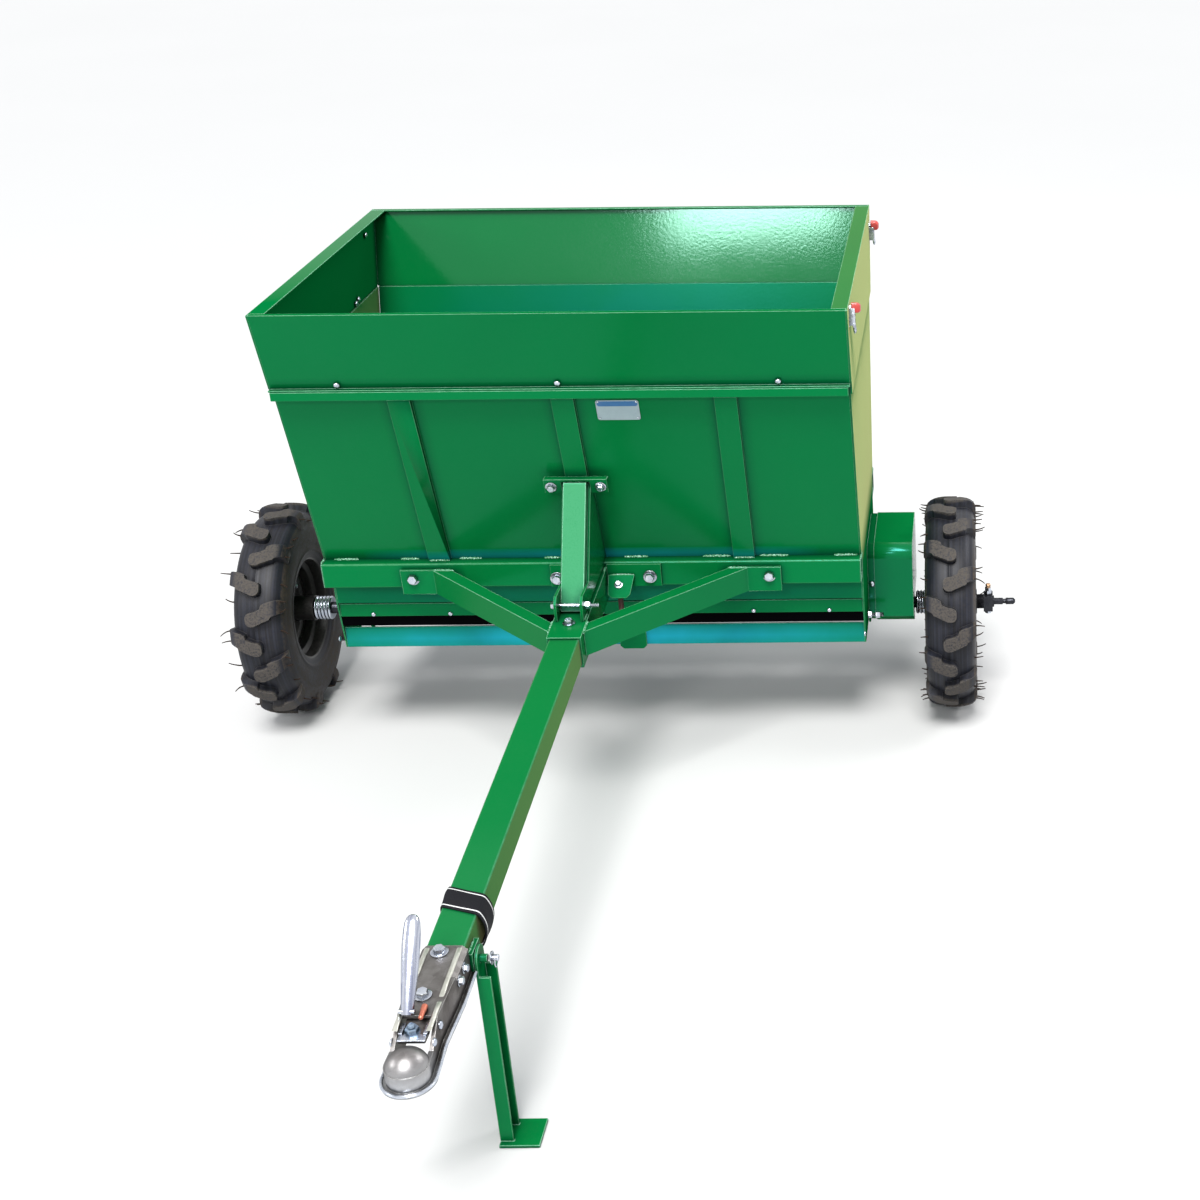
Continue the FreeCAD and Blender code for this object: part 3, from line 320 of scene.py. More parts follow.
def makeBead():
    # weld under green paint: a painted highlight where the scales stand proud, painted shade where it meets
    # the metal
    material, tree, shader = newMaterial("weldBead", Specular_IOR_Level=0.35, Roughness=0.22)
    place = addNode(tree, "TexCoord")
    grains = noiseNode(tree, place.outputs["Object"], 420.0, 3, 0.65)
    bright = mathNode(tree, "MULTIPLY_ADD", grains, 5.0, -2.35, clamp=True)
    shade = useGroup(tree, cavityShade, Reach=0.006, Depth=0.7)
    lit = mixColours(tree, bright, enamel["colour"], enamel["bead"])
    tree.links.new(mixColours(tree, shade.outputs["Shade"], enamel["seamShade"], lit), shader.inputs["Base Color"])
    bumpFrom(tree, shader, grains, 0.5, 0.0012)
    return material


# the groove black paints shade in the grooves, the edge grey a highlight on edges, and the streak blue the
# casing's sheen
rubber = {"colour": (0.006, 0.007, 0.011), "streak": (0.030, 0.034, 0.052), "worn": (0.068, 0.060, 0.053),
          "dust": (0.13, 0.095, 0.058), "edge": (0.16, 0.15, 0.14), "grooveShade": (0.004, 0.004, 0.005),
          "wornFrom": 0.2125, "flankFrom": 0.046}


def makeRubber():
    # the tread bars' tops are duller and browner than the casing between them
    material, tree, shader = newMaterial("tyreRubber", Specular_IOR_Level=0.24)
    place = addNode(tree, "TexCoord")
    parts = partsOf(tree, place.outputs["Object"])
    squares = mathNode(tree, "MULTIPLY_ADD", parts["Y"], parts["Y"],
                       mathNode(tree, "MULTIPLY", parts["Z"], parts["Z"]))
    reach = mathNode(tree, "SQRT", squares)
    top = mathNode(tree, "MULTIPLY", mathNode(tree, "SUBTRACT", reach, rubber["wornFrom"]), 260.0, clamp=True)
    grain = noiseNode(tree, place.outputs["Object"], 260.0, 5, 0.75)
    scuffs = mathNode(tree, "MULTIPLY_ADD", grain, 6.0, -2.2, clamp=True)
    rough = mathNode(tree, "MULTIPLY", top, scuffs)
    # bluish streaks round the casing: a painted sheen
    ringed = addNode(tree, "CombineXYZ")
    tree.links.new(parts["X"], ringed.inputs[0])
    tree.links.new(mathNode(tree, "MULTIPLY", reach, 0.4), ringed.inputs[1])
    streaks = noiseNode(tree, ringed.outputs[0], 170.0, 3, 0.6)
    patchy = noiseNode(tree, place.outputs["Object"], 16.0, 3, 0.6)
    marked = mathNode(tree, "MULTIPLY_ADD", streaks, 3.2, -1.25, clamp=True)
    drawn = mathNode(tree, "MULTIPLY", marked, patchy)
    casing = mixColours(tree, drawn, rubber["colour"], rubber["streak"])
    flank = mathNode(tree, "COMPARE", parts["X"], 0.0, rubber["flankFrom"])
    side = mathNode(tree, "SUBTRACT", 1.0, flank)
    film = useGroup(tree, dustFilm, Amount=1.0, Scale=9.0)
    dust = mathNode(tree, "MULTIPLY", film.outputs["Mask"], mathNode(tree, "MULTIPLY_ADD", side, 0.55, 0.08))
    worn = mixColours(tree, rough, casing, rubber["worn"])
    dusty = mixColours(tree, dust, worn, rubber["dust"])
    # painted highlight on edges that face up, then painted shade in the grooves
    edge = useGroup(tree, edgeMask, Width=0.0012, Break_Up=120.0)
    edged = mixColours(tree, mathNode(tree, "MULTIPLY", edge.outputs["Mask"], 0.5), dusty, rubber["edge"])
    shade = useGroup(tree, cavityShade, Reach=0.020, Depth=0.8)
    shaded = mixColours(tree, shade.outputs["Shade"], rubber["grooveShade"], edged)
    tree.links.new(shaded, shader.inputs["Base Color"])
    dull = mathNode(tree, "MULTIPLY_ADD", dust, 0.8, 0.44)
    tree.links.new(mathNode(tree, "MULTIPLY_ADD", rough, 0.45, dull, clamp=True), shader.inputs["Roughness"])
    low = mathNode(tree, "MULTIPLY_ADD", top, 0.85, 0.15)
    bumpFrom(tree, shader, mathNode(tree, "MULTIPLY", grain, low), 0.5, 0.0012)
    return material


def makeMetal(name, first, second, roughness, scale, bump=0.2, metallic=1.0, dustAmount=0.15, rimDark=0.6,
              edgeColour=None, grainRun=(1, 1, 1), highlightSpot=None):
    # plated or bare steel: cloudy grain, brighter edges that are partly wear and partly a painted highlight,
    # painted shade in seams, a little dust
    glance = 1 - 0.85 * rimDark
    material, tree, shader = newMaterial(name, Metallic=metallic, Specular_Tint=(glance, glance, glance, 1))
    place = addNode(tree, "TexCoord")
    drawn = addNode(tree, "VectorMath", operation="MULTIPLY")
    tree.links.new(place.outputs["Object"], drawn.inputs[0])
    drawn.inputs[1].default_value = grainRun
    cells = addNode(tree, "TexVoronoi")
    tree.links.new(drawn.outputs[0], cells.inputs["Vector"])
    cells.inputs["Scale"].default_value = scale
    spangle = addNode(tree, "SeparateColor")
    tree.links.new(cells.outputs["Color"], spangle.inputs[0])
    cloud = noiseNode(tree, drawn.outputs[0], scale * 0.4, 5, 0.6)
    clouded = mathNode(tree, "MULTIPLY_ADD", cloud, 1.6, -0.55)
    mask = mathNode(tree, "MULTIPLY_ADD", spangle.outputs[0], 0.35, clouded, clamp=True)
    plated = mixColours(tree, mask, first, second)
    if highlightSpot:
        # painted highlight: brighter round one spot, fading with distance from it
        spot, radius, colour = highlightSpot
        away = addNode(tree, "VectorMath", operation="DISTANCE")
        tree.links.new(addNode(tree, "NewGeometry").outputs["Position"], away.inputs[0])
        away.inputs[1].default_value = spot
        near = mathNode(tree, "MULTIPLY_ADD", away.outputs["Value"], -1 / radius, 1.6, clamp=True)
        highlit = mathNode(tree, "MULTIPLY", near, mathNode(tree, "ADD", cloud, 0.35, clamp=True))
        plated = mixColours(tree, highlit, plated, colour)
    # a lighter edge colour, partly wear and partly a painted highlight where edges face up, and painted shade
    # in seams
    edge = useGroup(tree, edgeMask, Width=0.0008, Break_Up=140.0)
    bright = edgeColour or tuple(min(1.0, c * 1.25 + 0.02) for c in first)
    shade = useGroup(tree, cavityShade, Reach=0.012, Depth=0.85)
    cavityShaded = mixColours(tree, shade.outputs["Shade"], tuple(c * 0.08 for c in second), plated)
    edged = mixColours(tree, edge.outputs["Mask"], cavityShaded, bright)
    dust = useGroup(tree, dustFilm, Amount=dustAmount, Scale=14.0)
    tree.links.new(mixColours(tree, dust.outputs["Mask"], edged, (0.25, 0.23, 0.19)),
                   shader.inputs["Base Color"])
    rough = mathNode(tree, "MULTIPLY_ADD", cloud, 0.22, roughness - 0.08)
    tree.links.new(mathNode(tree, "ADD", rough, dust.outputs["Mask"], clamp=True), shader.inputs["Roughness"])
    grain = noiseNode(tree, place.outputs["Object"], scale * 9, 3, 0.6)
    bumpFrom(tree, shader, grain, bump, 0.0005)
    return material


strap = {"low": 0.0294, "width": 0.047, "thick": 0.0022, "lineFrom": 0.0172, "lineTo": 0.0193,
         "slack": 0.0035, "skew": 0.0095, "forward": 0.006, "bulge": 0.0085, "lap": 0.0028}


def makeWebbing():
    # ribbed weave across the strap, drawn in its own length and width
    material, tree, shader = newMaterial("strapWebbing", Specular_IOR_Level=0.12)
    flat = partsOf(tree, addNode(tree, "UVMap").outputs[0])
    ribs = mathNode(tree, "SINE", mathNode(tree, "MULTIPLY", flat["X"], 2600.0))
    threads = mathNode(tree, "SINE", mathNode(tree, "MULTIPLY", flat["Y"], 4200.0))
    weave = mathNode(tree, "MULTIPLY_ADD", ribs, 0.5, mathNode(tree, "MULTIPLY", threads, 0.3))
    across = mathNode(tree, "ABSOLUTE", flat["Y"])
    inner = mathNode(tree, "GREATER_THAN", across, strap["lineFrom"])
    outer = mathNode(tree, "LESS_THAN", across, strap["lineTo"])
    lines = mathNode(tree, "MULTIPLY", inner, outer)
    shade = mathNode(tree, "MULTIPLY_ADD", weave, 0.25, 0.5, clamp=True)
    black = mixColours(tree, shade, (0.004, 0.004, 0.005), (0.014, 0.014, 0.018))
    white = mixColours(tree, shade, (0.50, 0.50, 0.49), (0.78, 0.78, 0.76))
    tree.links.new(mixColours(tree, lines, black, white), shader.inputs["Base Color"])
    tree.links.new(mathNode(tree, "MULTIPLY_ADD", weave, 0.06, 0.74), shader.inputs["Roughness"])
    bumpFrom(tree, shader, weave, 0.4, 0.0004)
    return material


def makeMoulded(name, colour, pale, roughness=0.35, coat=0.3):
    material, tree, shader = newMaterial(name, Coat_Weight=max(0.0, coat), Specular_IOR_Level=0.2 + coat)
    place = addNode(tree, "TexCoord")
    cloud = noiseNode(tree, place.outputs["Object"], 60.0, 4, 0.6)
    # painted highlight: the pale colour along edges that face up
    edge = useGroup(tree, edgeMask, Width=0.0010, Break_Up=160.0)
    toned = mixColours(tree, cloud, colour, tuple(c * 0.75 for c in colour))
    tree.links.new(mixColours(tree, edge.outputs["Mask"], toned, pale), shader.inputs["Base Color"])
    tree.links.new(mathNode(tree, "MULTIPLY_ADD", cloud, 0.2, roughness), shader.inputs["Roughness"])
    bumpFrom(tree, shader, noiseNode(tree, place.outputs["Object"], 900.0, 2, 0.5), 0.15, 0.0004)
    return material


materials = {
    "enamel": makeEnamel(),
    "rubber": makeRubber(),
    # painted reflections: bands of sky colour on the lips, the skirts and the front wall's foot, and a band
    # of the inside colour on the rear wall's faces that look forward
    "enamelLip": makeEnamel("greenEnamelLip", (0.236, 0.030, 0.62, 0.95, 0.0, 0.0, "sky")),
    # painted shadow under the beam: the skirts' shade reaches far
    "enamelSkirt": makeEnamel("greenEnamelSkirt", (0.335, 0.030, 0.60, 0.10, 0.0, 0.0, "sky"),
                              shadeReach=0.075),
    "enamelFoot": makeEnamel("greenEnamelFoot", (0.436, 0.014, 0.44, 0.40, 0.0, 0.0, "sky")),
    "enamelInside": makeEnamel("greenEnamelInside", (0.760, 0.130, 0.52, 0.9, 0.0, 1.0, "inside")),
    "enamelTab": makeEnamel("greenEnamelTab", polish=0.08, edgeHighlight=0.35),
    "enamelBeam": makeEnamel("greenEnamelBeam", edgeHighlight=1.9),
    # the post carries a painted reflection in mottled pale green
    "enamelPost": makeEnamel("greenEnamelPost", edgeHighlight=1.9, paleReflection=0.24),
    "enamelBoard": makeEnamel("greenEnamelBoard", polish=0.50, tint=(0.55, 1.0, 0.84), smooth=0.05),
    "enamelCase": makeEnamel("greenEnamelCase", polish=0.36, tint=(0.2, 1.0, 1.0)),
    # the end plates and boards, and more weakly the drawbar, get a beige sheen standing in for reflected warm
    # surroundings
    "enamelEnd": makeEnamel("greenEnamelEnd", beigeSheen=(0.42, 0.395)),
    "enamelBar": makeEnamel("greenEnamelBar", beigeSheen=(0.32, 0.0)),
    "bead": makeBead(),
    "zinc": makeMetal("brightZinc", (0.76, 0.80, 0.88), (0.36, 0.41, 0.52), 0.18, 120.0, 0.12, rimDark=0.55),
    "blued": makeMetal("bluedZinc", (0.42, 0.55, 0.70), (0.22, 0.32, 0.45), 0.22, 120.0, 0.12, rimDark=0.7),
    # the pressing gets a painted highlight on the dome over the towing ball
    "pressing": makeMetal("zincPressing", (0.34, 0.325, 0.32), (0.13, 0.118, 0.115), 0.27, 75.0, 0.5,
                          rimDark=0.85, edgeColour=(0.95, 0.95, 0.93),
                          highlightSpot=(hitchBall, 0.030, (0.74, 0.77, 0.82))),
    "rib": makeMetal("rubbedRib", (0.78, 0.78, 0.71), (0.46, 0.46, 0.41), 0.30, 90.0, 0.35, rimDark=0.3),
    "lever": makeMetal("polishedLever", (0.86, 0.89, 0.95), (0.13, 0.16, 0.32), 0.15, 40.0, 0.08,
                       rimDark=0.8, grainRun=(9, 0.30, 0.30)),
    "black": makeMetal("blackSteel", (0.006, 0.006, 0.007), (0.012, 0.012, 0.012), 0.26, 40.0, 0.15,
                       0.0, 0.10),
    "strand": makeMoulded("tyreStrand", (0.020, 0.012, 0.008), (0.05, 0.03, 0.02), 0.6, -0.1),
    # apron sheets: black rubber curtains put where the gap under the lips shows only shade, so they partly
    # stand in for that shade
    "apron": makeMoulded("apronSheet", (0.002, 0.002, 0.0025), (0.002, 0.002, 0.002), 0.75, -0.2),
    "oiled": makeMetal("oiledAxle", (0.022, 0.024, 0.032), (0.040, 0.042, 0.050), 0.22, 60.0, 0.15,
                       0.8, 0.08),
    "bare": makeMetal("bareSteel", (0.34, 0.33, 0.32), (0.20, 0.15, 0.11), 0.42, 70.0, 0.4, 0.9, 0.2),
    "rust": makeMetal("primedScrew", (0.075, 0.028, 0.024), (0.035, 0.018, 0.016), 0.5, 90.0, 0.4, 0.3, 0.1),
    "tip": makeMetal("copperTip", (0.55, 0.16, 0.10), (0.40, 0.14, 0.09), 0.32, 160.0, 0.3, 0.6, 0.05),
    "brass": makeMetal("yellowPlate", (0.72, 0.47, 0.28), (0.55, 0.33, 0.18), 0.3, 120.0, 0.2),
    "plate": makeMetal("foilPlate", (0.36, 0.45, 0.48), (0.30, 0.38, 0.42), 0.45, 60.0, 0.05, 0.4, 0.1),
    "band": makeMoulded("foilBand", (0.03, 0.14, 0.34), (0.25, 0.4, 0.6)),
    "red": makeMoulded("redCap", (0.50, 0.035, 0.025), (0.75, 0.25, 0.2)),
    "webbing": makeWebbing(),
}
print("materials ready")
finish = {"green_paint": "enamel", "black_steel": "black", "zinc_plate": "zinc", "plain_steel": "bare",
          "tyre_rubber": "rubber", "apron_rubber": "apron", "strap_webbing": "webbing"}
slotOf = {part["node"]: part["material_slot"] for part in frame["record"]["subparts"]}
special = {"coupler_body": "pressing", "coupler_handle": "lever", "axle_shaft": "oiled",
           "wheel_lock": "oiled", "adjuster_tab": "enamelTab",
           "lower_lip_front": "enamelLip", "lower_lip_rear": "enamelLip",
           "feed_skirt_front": "enamelSkirt", "feed_skirt_rear": "enamelSkirt",
           "hopper_wall_front": "enamelFoot",
           "hopper_wall_rear": "enamelInside", "beam_front": "enamelBeam", "beam_rear": "enamelBeam",
           "brace_post": "enamelPost", "extension_rear": "enamelBoard", "chain_case": "enamelCase",
           "hopper_end_right": "enamelEnd", "hopper_end_left": "enamelEnd",
           "extension_right": "enamelEnd",
           "drawbar_tube": "enamelBar", "centre_plate": "enamelTab", "brace_gussets": "enamelTab"}


# mesh helpers

def meshOf(name, shape):
    bmesh.ops.recalc_face_normals(shape, faces=shape.faces)
    mesh = bpy.data.meshes.new(name)
    shape.to_mesh(mesh)
    shape.free()
    return mesh


def soften(piece, width, segments=2, angle=35):
    edge = piece.modifiers.new("softEdges", "BEVEL")
    edge.width, edge.segments = width, segments
    edge.limit_method, edge.angle_limit = "ANGLE", math.radians(angle)
    edge.harden_normals = True
    edge.use_clamp_overlap = True


def newObject(name, shape, body, material, bevel=0.0, segments=2, angle=35, place=None):
    mesh = meshOf(name, shape)
    mesh.materials.append(materials[material])
    mesh.shade_smooth()
    mesh.set_sharp_from_angle(angle=math.radians(angle))
    piece = bpy.data.objects.new(name, mesh)
    bpy.context.scene.collection.objects.link(piece)
    if place is not None:
        piece.matrix_world = Matrix.Translation(place)
    if bevel:
        soften(piece, bevel, segments, angle)
    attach(piece, body)
    return piece


def frameOf(position, direction, spin=0.0):
    # a matrix whose Z runs along direction
    turn = Vector((0, 0, 1)).rotation_difference(Vector(direction).normalized()).to_matrix().to_4x4()
    return Matrix.Translation(position) @ turn @ Matrix.Rotation(spin, 4, "Z")


def addLoft(shape, rings):
    # joins closed rings of equal point count into a skin, and shuts both ends
    made = [[shape.verts.new(point) for point in ring] for ring in rings]
    count = len(made[0])
    for near, far in zip(made, made[1:]):
        for number in range(count):
            after = (number + 1) % count
            shape.faces.new((near[number], near[after], far[after], far[number]))
    shape.faces.new(list(reversed(made[0])))
    shape.faces.new(made[-1])


def circle(radius, count, height=0.0, phase=0.0):
    return [Vector((radius * math.cos(2 * math.pi * n / count + phase),
                    radius * math.sin(2 * math.pi * n / count + phase), height)) for n in range(count)]


def addSpun(shape, profile, count, matrix):
    # profile of (radius, height) pairs turned about the matrix's Z
    rings = [[matrix @ point for point in circle(radius, count, height)] for radius, height in profile]
    addLoft(shape, rings)


def addPlate(shape, matrix, outline, low, high):
    # a flat outline given its thickness, from one height to another
    addLoft(shape, [[matrix @ Vector((x, y, z)) for x, y in outline] for z in (low, high)])


def addBlock(shape, matrix, x0, x1, y0, y1, low, high):
    addPlate(shape, matrix, [(x0, y0), (x1, y0), (x1, y1), (x0, y1)], low, high)


def addHex(shape, across, height, matrix, lift=0.0):
    # a hexagon with its corners turned off at the top
    r = across / math.sqrt(3)
    rings = [circle(r, 6, lift), circle(r, 6, lift + height * 0.78), circle(r * 0.86, 6, lift + height)]
    addLoft(shape, [[matrix @ point for point in ring] for ring in rings])


def addBolt(shape, position, direction, across=0.013, washer=0.012, spin=0.3, shank=0.0):
    # washer, flange and hexagon head, with a shallow dish in the head
    matrix = frameOf(position, direction, spin)
    thick = across * 0.12
    addSpun(shape, [(washer * 0.97, -0.0004), (washer, thick * 0.3), (washer, thick * 0.8),
                    (washer * 0.94, thick), (across * 0.5, thick)], 28, matrix)
    addHex(shape, across, across * 0.55, matrix, thick)
    if shank:
        addThread(shape, position, direction, across * 0.46, shank)


def addThread(shape, position, direction, width, length):
    # fine rings stand for the thread
    matrix = frameOf(position, direction)
    pitch = width * 0.17
    profile, height = [(width * 0.46, 0.0)], 0.0
    while height < length - pitch:
        profile += [(width * 0.5, height + pitch * 0.5), (width * 0.45, height + pitch)]
        height += pitch
    profile.append((width * 0.36, length))
    addSpun(shape, profile, 16, matrix)


def addDome(shape, position, direction, radius, rise=0.5):
    # pan head or rivet with a small dimple
    matrix = frameOf(position, direction)
    steps = 6
    profile = [(radius, -0.0005)]
    profile += [(radius * math.cos(a), radius * rise * math.sin(a))
                for a in (math.pi / 2 * n / steps for n in range(steps))]
    profile += [(radius * 0.18, radius * rise), (radius * 0.1, radius * rise * 0.72)]
    addSpun(shape, profile, 20, matrix)


def addBead(shape, start, end, outward, width=0.006):
    # a weld run: overlapping scales along a line, half sunk in the joint
    start, end, outward = Vector(start), Vector(end), Vector(outward).normalized()
    along = end - start
    length = along.length
    along.normalize()
    side = along.cross(outward).normalized()
    count = max(6, int(length / 0.0022))
    rings = []
    for n in range(count + 1):
        share = n / count
        fade = min(1.0, share * count / 2.5, (1 - share) * count / 2.5)
        swell = (0.78 + 0.22 * math.sin(n * math.pi * 0.66)) * (0.35 + 0.65 * fade)
        centre = start + along * length * share
        lean = along * width * 0.12 * math.cos(n * 1.3)
        rings.append([centre + lean + side * (width * 0.5 * swell * math.cos(a))
                      + outward * (width * 0.42 * swell * math.sin(a))
                      for a in (2 * math.pi * k / 10 for k in range(10))])
    addLoft(shape, rings)


def smoothLine(points, steps):
    # a Catmull-Rom line through the points
    points = [Vector(p) for p in points]
    padded = [points[0] * 2 - points[1]] + points + [points[-1] * 2 - points[-2]]
    line = []
    for a, b, c, d in zip(padded, padded[1:], padded[2:], padded[3:]):
        for n in range(steps):
            t = n / steps
            line.append(0.5 * (2 * b + (c - a) * t + (2 * a - 5 * b + 4 * c - d) * t * t
                               + (3 * b - a - 3 * c + d) * t ** 3))
    line.append(points[-1])
    return line


def addTube(shape, points, radii, count=6):
    points = [Vector(p) for p in points]
    rings = []
    for n, point in enumerate(points):
        direction = (points[min(n + 1, len(points) - 1)] - points[max(n - 1, 0)]).normalized()
        matrix = frameOf(point, direction)
        rings.append([matrix @ p for p in circle(radii[n], count)])
    addLoft(shape, rings)


# painted and plated metal of the frame: soft edges and finishes
softEdge = {"plain": 0.0007, "coupler_body": 0.0014, "chain_case": 0.0016, "beam_front": 0.0030,
            "beam_rear": 0.0030, "brace_post": 0.0026, "strut_left": 0.0022, "strut_right": 0.0022,
            "drawbar_tube": 0.0024, "upper_lip_front": 0.0012, "upper_lip_rear": 0.0012,
            "axle_shaft": 0.0009, "axle_spacers": 0.0006, "wheel_lock": 0.0012}
for name, node in nodes.items():
    node.data.materials.clear()
    node.data.materials.append(materials[special.get(name, finish[slotOf[name]])])
    node.data.polygons.foreach_set("material_index", [0] * len(node.data.polygons))
    weld = node.modifiers.new("weld", "WELD")
    weld.merge_threshold = 0.00002
    soften(node, softEdge.get(name, softEdge["plain"]), 2, 32)
print("frame finished")


def addTurned(shape, loop, count, matrix):
    # a closed outline of (radius, height) points carried all the way round the matrix's Z
    grid = []
    for n in range(count):
        angle = 2 * math.pi * n / count
        grid.append([shape.verts.new(matrix @ Vector((r * math.cos(angle), r * math.sin(angle), h)))
                     for r, h in loop])
    size = len(loop)
    for n in range(count):
        here, there = grid[n], grid[(n + 1) % count]
        for k in range(size):
            after = (k + 1) % size
            shape.faces.new((here[k], there[k], there[after], here[after]))


def thickened(path, thick):
    # closes a sheet's section: the path, and back along it at the sheet's thickness
    far = []
    for n, point in enumerate(path):
        before, after = Vector(path[max(n - 1, 0)]), Vector(path[min(n + 1, len(path) - 1)])
        run = (after - before).normalized()
        far.append((point[0] - run.y * thick, point[1] + run.x * thick))
    return list(path) + list(reversed(far))


acrossWheel = Matrix.Rotation(math.pi / 2, 4, "Y")   # turns a section's height into machine X

# tyres
tyre = {"crown": 0.204, "bead": 0.1036, "lugsPerSide": 11, "draft": 0.0030, "edge": 0.0012,
        "noses": {"right": 23.1, "left": 38.2}, "strandLength": (0.013, 0.023), "strandRadius": 0.0016,
        "innerStrand": 0.014, "barRoot": 0.0490, "strayRoot": 0.0452, "broken": 0.12}
# one tread bar, from its round nose past the middle to its end low on the shoulder: distance out,
# drop below the bar's top radius, leading and trailing edge round the tread, and its root in the casing
barPlan = [
    (-0.0134, 0.0, 0.0030, -0.0030, -0.0134, 0.1995), (-0.0126, 0.0, 0.0072, -0.0072, -0.0130, 0.1995),
    (-0.0108, 0.0, 0.0106, -0.0104, -0.0114, 0.1995), (-0.0075, 0.0, 0.0132, -0.0128, -0.0080, 0.1995),
    (-0.0030, 0.0, 0.0144, -0.0140, -0.0030, 0.1995), (0.0035, 0.0, 0.0140, -0.0152, 0.0035, 0.1995),
    (0.0090, 0.0, 0.0112, -0.0176, 0.0090, 0.1995), (0.0158, 0.0003, 0.0082, -0.0212, 0.0156, 0.1990),
    (0.0182, 0.0005, 0.0070, -0.0292, 0.0178, 0.1986), (0.0255, 0.0014, 0.0036, -0.0335, 0.0240, 0.1970),
    (0.0328, 0.0031, 0.0006, -0.0358, 0.0300, 0.1945), (0.0350, 0.0036, -0.0042, -0.0362, 0.0312, 0.1938),
    (0.0420, 0.0066, -0.0074, -0.0382, 0.0355, 0.1905), (0.0478, 0.0112, -0.0102, -0.0398, 0.0392, 0.1865),
    (0.0512, 0.0180, -0.0114, -0.0404, 0.0422, 0.1815), (0.0524, 0.0260, -0.0124, -0.0404, 0.0442, 0.1765),
    (0.0524, 0.0340, -0.0132, -0.0398, 0.0455, 0.1710), (0.0512, 0.0410, -0.0142, -0.0390, 0.0462, 0.1660)]


def addLug(shape, side, angle, radius, rng):
    draft, rings = tyre["draft"], []
    for x, drop, lead, trail, rootX, rootR in barPlan:
        r = radius - drop
        wobble = rng.uniform(-0.00035, 0.00035)
        halfway = ((x + rootX) / 2, (r + rootR) / 2)
        corners = [(rootX, rootR, lead + draft), (*halfway, lead + draft * 0.35),
                   (x, r - 0.0002, lead + wobble), (x, r, (lead + trail) / 2),
                   (x, r - 0.0002, trail + wobble), (*halfway, trail - draft * 0.35),
                   (rootX, rootR, trail - draft)]
        ring = []
        for px, pr, s in corners:
            turn = math.radians(angle) + s / radius
            ring.append(Vector((px * side, -pr * math.sin(turn), pr * math.cos(turn))))
        rings.append(ring)
    addLoft(shape, rings)


def addStrand(shape, s, drop, radius, side, angle, longest, rng):
    # one hair of rubber left by the mould's vent, bent and lifted by chance
    turn = math.radians(angle) + s / radius
    rootR = radius - drop - rng.uniform(0.0, 0.004)
    length = min(longest, rng.uniform(*tyre["strandLength"]))
    bend, lift = rng.uniform(-0.55, 0.55), rng.uniform(-0.15, 0.35)
    rootX = tyre["barRoot"] if s < 0 else tyre["strayRoot"]
    points, shares = [], [n / 5 for n in range(6)]
    for share in shares:
        swing = turn + bend * share * share * length / rootR
        r = rootR + lift * share * share * length
        points.append((side * (rootX + length * share), -r * math.sin(swing), r * math.cos(swing)))
    addTube(shape, points, [tyre["strandRadius"] * (1.1 - 0.55 * share) for share in shares], 6)


def addStrands(shape, radius, side, angle, longest, rng):
    # a pair at the bar's end and a stray one between the bars, with a few broken off
    spots = [(-0.0145, 0.0165), (-0.0375, 0.0165), (rng.uniform(0.020, 0.060), rng.uniform(0.026, 0.036))]
    for s, drop in spots:
        if rng.random() >= tyre["broken"]:
            addStrand(shape, s, drop, radius, side, angle, longest, rng)


def buildTyre(sideName, body, sign):
    name, node = "tyre" + sideName.capitalize(), "tyre_" + sideName
    rng = random.Random(11 + sign)
    radius = span(node).z / 2
    crown, bead = tyre["crown"], tyre["bead"]
    # half a section from the bead out: the flank's two rings, the shoulder and the flat crown
    half = [(0.0400, bead), (0.0438, bead + 0.0035), (0.0446, bead + 0.0105), (0.0462, 0.1195),
            (0.0478, 0.1212), (0.0480, 0.1232), (0.0474, 0.1248), (0.0490, 0.1330), (0.0506, 0.1450),
            (0.0512, 0.1580), (0.0506, 0.1700), (0.0489, 0.1800), (0.0462, 0.1878), (0.0421, 0.1942),
            (0.0360, 0.1988), (0.0280, 0.2018), (0.0180, 0.2034), (0.0080, crown), (0.0014, crown),
            (0.0008, crown + 0.0005)]
    loop = [(r, x) for x, r in half] + [(r, -x) for x, r in reversed(half)]
    shape = bmesh.new()
    addTurned(shape, loop, 120, acrossWheel)
    pitch = 360 / tyre["lugsPerSide"]
    strands = bmesh.new()
    for number in range(tyre["lugsPerSide"]):
        for side, start in ((1, 0), (-1, 0.5)):
            angle = tyre["noses"][sideName] + (number + start) * pitch
            addLug(shape, side, angle, radius, rng)
            longest = tyre["innerStrand"] if side == -sign else 1
            addStrands(strands, radius, side, angle, longest, rng)
    piece = newObject(name, shape, body, "rubber", tyre["edge"], 2, 42, middle(node))
    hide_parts(node)
    newObject(name + "Strands", strands, body, "strand", place=middle(node))


wheels = (("right", "drive_wheel", 1), ("left", "idle_wheel", -1))
for sideName, body, sign in wheels:
    buildTyre(sideName, body, sign)
print("tyres ready")

# rims
rim = {"sheet": 0.0026, "hub": 0.026, "hubHalf": 0.053, "bore": 0.0122, "seat": 0.0062,
       "boltCircle": 0.050, "bolts": 4, "bolt": (0.013, 0.0115), "weldRuns": 4, "weldX": 0.0035,
       "weld": 0.005}


